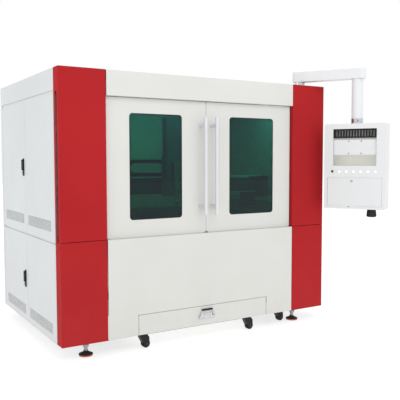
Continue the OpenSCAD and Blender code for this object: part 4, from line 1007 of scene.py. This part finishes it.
# %% Lock, catch and screws on the console
LOCK = (-20, FACE - 2.5, 1190)
bezel = turned([(5.2, 0), (5.8, 1.0), (8.2, 1.3), (9.4, 0.6), (9.8, 0)], 24)
fit("lock_bezel", "lock", chrome, bezel, on_console(*LOCK))
slit = block(1.3, 5.4, 0.5, 0.15, 1)
fit("lock_keyway", "lock", rubber, slit, on_console(*LOCK, FRONT, 0.5))
catch = block(11, 4.5, 2.2, 0.6)
fit("flap_catch", "console", plastic, catch, on_console(-42, FACE + 0.4, 979.4))
back_screws = [(x, z) for x in (-232, -78, 78, 232) for z in (973, 1643)]
back_screws += [(x, z) for z in (1150, 1310, 1480) for x in (-237, 237)]
mould = bmesh.new()
cover_screw, bar_screw = screw_head(3.6, 2.0), screw_head(2.6, 1.4)
add(mould, cover_screw, *(on_console(x, REAR_FACE, z, BACK) for x, z in back_screws))
for x in (-164, 164):
    add(mould, bar_screw, *(on_console(x, BAR_FACE, z) for z in (1410, 1518)))
release("console_screws", mould, "console", aluminium)

# %% [markdown]
# Buttons and a monitor are not fitted yet, so the holes stay open. Each button hole has the small
# rolled edge of a punched hole in coated sheet, and the monitor's four have threaded inserts.

# %% Hole edges and inserts
BUTTONS, FIRST_X, APART = 7, -180, 58
hole_edge = turned([(11.05, -1.9), (11.05, 0.05), (11.9, 0.35), (12.5, 0.02)], 28)
places = [on_console(FIRST_X + i * APART, FACE, 1267) for i in range(BUTTONS)]
fit("button_hole_edges", "console", console_coat, hole_edge, *places)
insert = turned([(2.6, 0), (2.6, 0.7), (5.0, 0.7), (5.4, 0)], 20)
for side, x in (("left", -50), ("right", 50)):
    for z in (1414, 1514):
        place = on_console(x, BAR_FACE, z)
        fit(f"monitor_insert_{side}_{z}", "console", blackened, insert, place)

# %% [markdown]
# Behind the recess hangs a pale foil that glows faintly, painted light that makes the recess look
# pale inside. A film that glows more blanks the spare holes from behind, and a foam seal fills the
# gap round the flap.

# %% Foil, film and flap seal
sheet = thicken(sheet_blank(452, 226, 6), 1.2)
fit("recess_foil", "console", foil, sheet, on_console(-6, 61, 1428))
sheet = thicken(sheet_blank(322, 60, 4), 0.8)
fit("button_film", "console", pale, sheet, on_console(22, FACE + 9, 1267))
ring = rim(446, 236, 2, 2.6, 1.4)
fit("flap_seal", "console", console_coat, ring, on_console(0, FACE + 3.4, 1100))

# %% [markdown]
# ## Inside the chamber
# A strip of lamps under the ceiling lights the work. Real light is what shows the gantry through
# the green panes, so four area lamps stand for it: two along the strip, and two small ones for the
# right wall and the bed's right end. Pale strips along the gantry's dark beam and at its right end
# are painted highlights, the lines of light on those edges.

# %% Work lamp
CEILING = (250, 1912)
mould = add(bmesh.new(), block(1240, 46, 22, 6, 3), facing(DOWN, at(CENTRE, *CEILING)))
add(mould, block(26, 54, 26, 3), *(facing(DOWN, at(x, *CEILING)) for x in (530, 1790)))
release("work_lamp", mould, "cabinet", frosted)
for name, place, target, size, power, colour in (
    ("chamber_lamp", (1160, 330, 1880), (1160, 900, 700), (1.2, 0.08), 1.0, (0.90, 0.97, 1.0)),
    ("right_wall_lamp", (1560, 240, 1840), (1975, 430, 1080), (0.1, 0.3), 1.8, (0.80, 1.0, 0.84)),
    ("right_bed_lamp", (1730, 190, 1860), (1860, 400, 950), (0.1, 0.16), 2.2, (0.80, 1.0, 0.84)),
    ("bed_lamp", (1160, 150, 1840), (1160, 420, 1100), (1.1, 0.06), 1.6, (0.85, 1.0, 0.88)),
):
    softbox(name, at(*place), at(*target), size, power, colour)
# Painted highlights: pale strips along the beam's long edges and at its right end.
BEAM_Y = 384.9
mould = bmesh.new()
for z, height in ((1227, 11), (1091, 7)):
    add(mould, block(1540, height, 0.6, 0.2), facing(FRONT, at(CENTRE, BEAM_Y, z)))
add(mould, block(11, 140, 0.6, 0.2), facing(FRONT, at(1935, BEAM_Y, 1160)))
release("beam_highlight_strips", mould, "gantry", cool)

# %% [markdown]
# The cable chain is a row of box links. In the real machine its bend rolls along at half the
# carriage's speed. Here it stands at rest: two straight runs of links and a bend of six, baked in
# place and riding on no body, take the place of the solid chain.

# %% Cable chain
CHAIN_Y, LINK_HEIGHT, LINK, HALF_WIDTH, FAR = 460, 28, 26.4, 29.5, 20000
bend_x, mid_z, radius = 756, 1300, 52


def chain_link(length):
    """Two cheeks, two bridges and the pins' ends, about the link's middle."""
    shape = bmesh.new()
    cheek = soften(thicken(sheet_blank(length + 5, LINK_HEIGHT - 2, 9, 3), 4), 0.6, 1, 80)
    upright = Matrix.Rotation(math.pi / 2, 4, "X")
    for y in (4 - HALF_WIDTH, HALF_WIDTH):
        add(shape, cheek, Matrix.Translation((0, y * MM, 0)) @ upright)
    bridge = block(9, 50, 2.6, 0.7, 1)
    for z in (LINK_HEIGHT / 2 - 2.8, -LINK_HEIGHT / 2 + 0.2):
        add(shape, bridge, Matrix.Translation((0, 0, z * MM)))
    pin = turned([(0, 1.2), (3.4, 1.2), (4.2, 0.4), (4.2, 0)], 12)
    for side in (FRONT, BACK):
        add(shape, pin, facing(side, Vector(side) * 29.6 * MM))
    return shape


def chain_run(name, last_x, z):
    """Links in a row, from the bend to another place."""
    mould, link = bmesh.new(), chain_link(LINK)
    for i in range(round((last_x - bend_x) / LINK)):
        add(mould, link, standing(bend_x + (i + 0.5) * LINK, CHAIN_Y, z))
    return release(name, mould, None, plastic)


def on_chain(x, aside=0):
    """A point at the chain's middle height."""
    return at(x, CHAIN_Y + aside, mid_z)


lower_run = chain_run("chain_lower_run", 1152, mid_z - radius)
upper_run = chain_run("chain_upper_run", 1039, mid_z + radius)
mould, link = bmesh.new(), chain_link(23)
for i in range(6):
    turn = math.radians(15 + 30 * i)
    outwards = Vector((-math.sin(turn), 0, -math.cos(turn)))
    place = Matrix.Translation(on_chain(bend_x) + outwards * radius * MM)
    add(mould, link, place @ Matrix.Rotation(turn, 4, "Y"))
bend = release("chain_bend", mould, None, plastic)
on_chain(1160)
on_chain(352)
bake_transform(lower_run)
on_chain(472)
on_chain(1040)
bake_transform(upper_run)
on_chain(bend_x, -FAR)
on_chain(bend_x, FAR)
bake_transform(bend)
for run in (lower_run, upper_run, bend):
    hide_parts("cable_chain")

# %% [markdown]
# The cutting head's solid has the outline, and these are what an operator handles: the copper
# nozzle in its ceramic ring, the drawer of the protective lens with a thumb screw, two gas
# fittings, and the fibre's bayonet socket on top.

# %% Cutting head fittings
HEAD = (1030, 262)
copper = Finish("nozzle_copper", "chrome")
heat = copper.noise(150, 4)
copper.set(
    Base_Color=copper.mix(heat.over(0.35, 0.7), (0.62, 0.27, 0.14), (0.32, 0.14, 0.1)),
    Metallic=1.0,
    Roughness=0.25 + heat * 0.2,
    Normal=copper.bump(heat, 0.00006, 0.6),
)
nozzle = turned([(3.2, 0.2), (9.6, 16), (14.6, 18.4), (14.6, 30), (14.1, 30)], 28)
ceramic = turned([(14.2, 0), (19.6, 1), (19.6, 9), (14.2, 10)], 32)
fit("head_nozzle", "head", copper, nozzle, standing(*HEAD, 1001))
fit("head_ceramic", "head", white, ceramic, standing(*HEAD, 1034))
band = turned([(23.4, 0), (25.4, 1), (25.4, 7), (23.4, 8)], 36)
thumb_screw = turned([(0, 12), (5, 12), (6.2, 10.6), (6.2, 4), (3, 3), (3, 0)], 20)
gas_fitting = turned([(0, 16), (2.2, 16), (4, 13), (4, 8), (6, 7.4), (6, 0)], 12)
bayonet = turned([(0, 4), (11, 4), (12.8, 2.6), (12.8, -14), (9, -14)], 24)
mould = add(bmesh.new(), band, *(standing(*HEAD, z) for z in (1062, 1150, 1224, 1318)))
add(mould, block(44, 26, 20, 2), facing(FRONT, at(1030, 246, 1108)))
add(mould, thumb_screw, facing(FRONT, at(1030, 228, 1108)))
add(mould, gas_fitting, facing(LEFT, at(1009, 262, 1184)), facing(RIGHT, at(1051, 262, 1184)))
add(mould, bayonet, standing(*HEAD, 1352))
release("head_fittings", mould, "head", chrome)

# %% [markdown]
# ## Sides, back and roof
# The covers on the right and at the back come off with screws, in rows along their edges.

# %% Cover screws
MARGIN = 18
panel_screw = screw_head(4.2, 2.4)
mould = bmesh.new()
for y0, y1 in ((108, 795), (798, 1485)):
    for z0, z1 in ((115, 788), (802, 1809)):
        middle = ((y0 + y1) / 2, (z0 + z1) / 2)
        for y in (y0 + MARGIN, middle[0], y1 - MARGIN):
            for z in (z0 + MARGIN, middle[1], z1 - MARGIN):
                if (y, z) != middle:
                    add(mould, panel_screw, facing(RIGHT, at(width, y, z)))
release("right_cover_screws", mould, "cabinet", aluminium)

mould = bmesh.new()
for x in (42, 185, 330):
    for z in (122, 420, 810, 1180, 1560, 1960):
        add(mould, panel_screw, *(facing(BACK, at(side, DEPTH, z)) for side in (x, width - x)))
for x in (370, 765, CENTRE, 1555, 1950):
    for z in (122, 788, 834, 1960):
        add(mould, panel_screw, facing(BACK, at(x, DEPTH, z)))
release("rear_cover_screws", mould, "cabinet", aluminium)

# %% [markdown]
# Each louvre at the back is a slot with a lip pressed out over it, which sheds dripping water. The
# lip is a small grid that is bent into a hood: cheap, smooth and closed at both ends.

# %% Louvre lips
LIP_LENGTH, LIP_HEIGHT, LIP_DEPTH, ROWS, FIRST_Z = 128, 17, 8.5, 8, 1519
hood = bmesh.new()
bmesh.ops.create_grid(hood, x_segments=8, y_segments=3, size=0.5)
bmesh.ops.scale(hood, vec=(LIP_LENGTH * MM, LIP_HEIGHT * MM, 1), verts=hood.verts)
for vert in hood.verts:
    across, along = vert.co.y / (LIP_HEIGHT / 2 * MM), vert.co.x / (LIP_LENGTH / 2 * MM)
    lifted = max(0.0, (1 - across) / 2) * (1 - along ** 4)
    vert.co.z = LIP_DEPTH * MM * lifted + 0.0003
mould = bmesh.new()
for x in (CENTRE - 380, CENTRE + 380):
    for row in range(ROWS):
        add(mould, hood, facing(BACK, at(x, DEPTH, FIRST_Z + row * 32), math.pi))
release("louvre_lips", mould, "cabinet", white, 60)

# %% [markdown]
# The exhaust spigot is riveted through its flange, and a hose clamp grips behind its rolled bead.

# %% Exhaust bead and rivets
SPIGOT_Z, RIVETS, CIRCLE = 430, 12, 112
bead = turned([(100.05, 0), (102.4, 1.8), (103, 4), (102.4, 6.2), (100.05, 8)], 56)
rivet = turned([(0, 2.2), (2.4, 1.8), (4.0, 0.6), (4.2, 0)], 12)
mould = add(bmesh.new(), bead, facing(BACK, at(CENTRE, DEPTH + 42, SPIGOT_Z)))
for i in range(RIVETS):
    turn = math.tau * i / RIVETS
    x, z = CENTRE + CIRCLE * math.cos(turn), SPIGOT_Z + CIRCLE * math.sin(turn)
    add(mould, rivet, facing(BACK, at(x, DEPTH + 2, z)))
release("exhaust_bead", mould, "cabinet", zinc)

# %% [markdown]
# ## The studio floor
# The machine stands on a white sheet that is lit from beneath, as photographers do to lose a
# shadow. A faint one still ties the feet to it.

# %% Floor
sheet = bmesh.new()
bmesh.ops.create_grid(sheet, x_segments=4, y_segments=4, size=30)
bmesh.ops.translate(sheet, vec=(0, 0, -0.0005), verts=sheet.verts)
mesh = bpy.data.meshes.new("studio_floor")
sheet.to_mesh(mesh)
mesh.materials.append(paper.material)
studio_floor = bpy.data.objects.new("studio_floor", mesh)
scene.collection.objects.link(studio_floor)
print("a floor of", len(mesh.polygons), "faces")
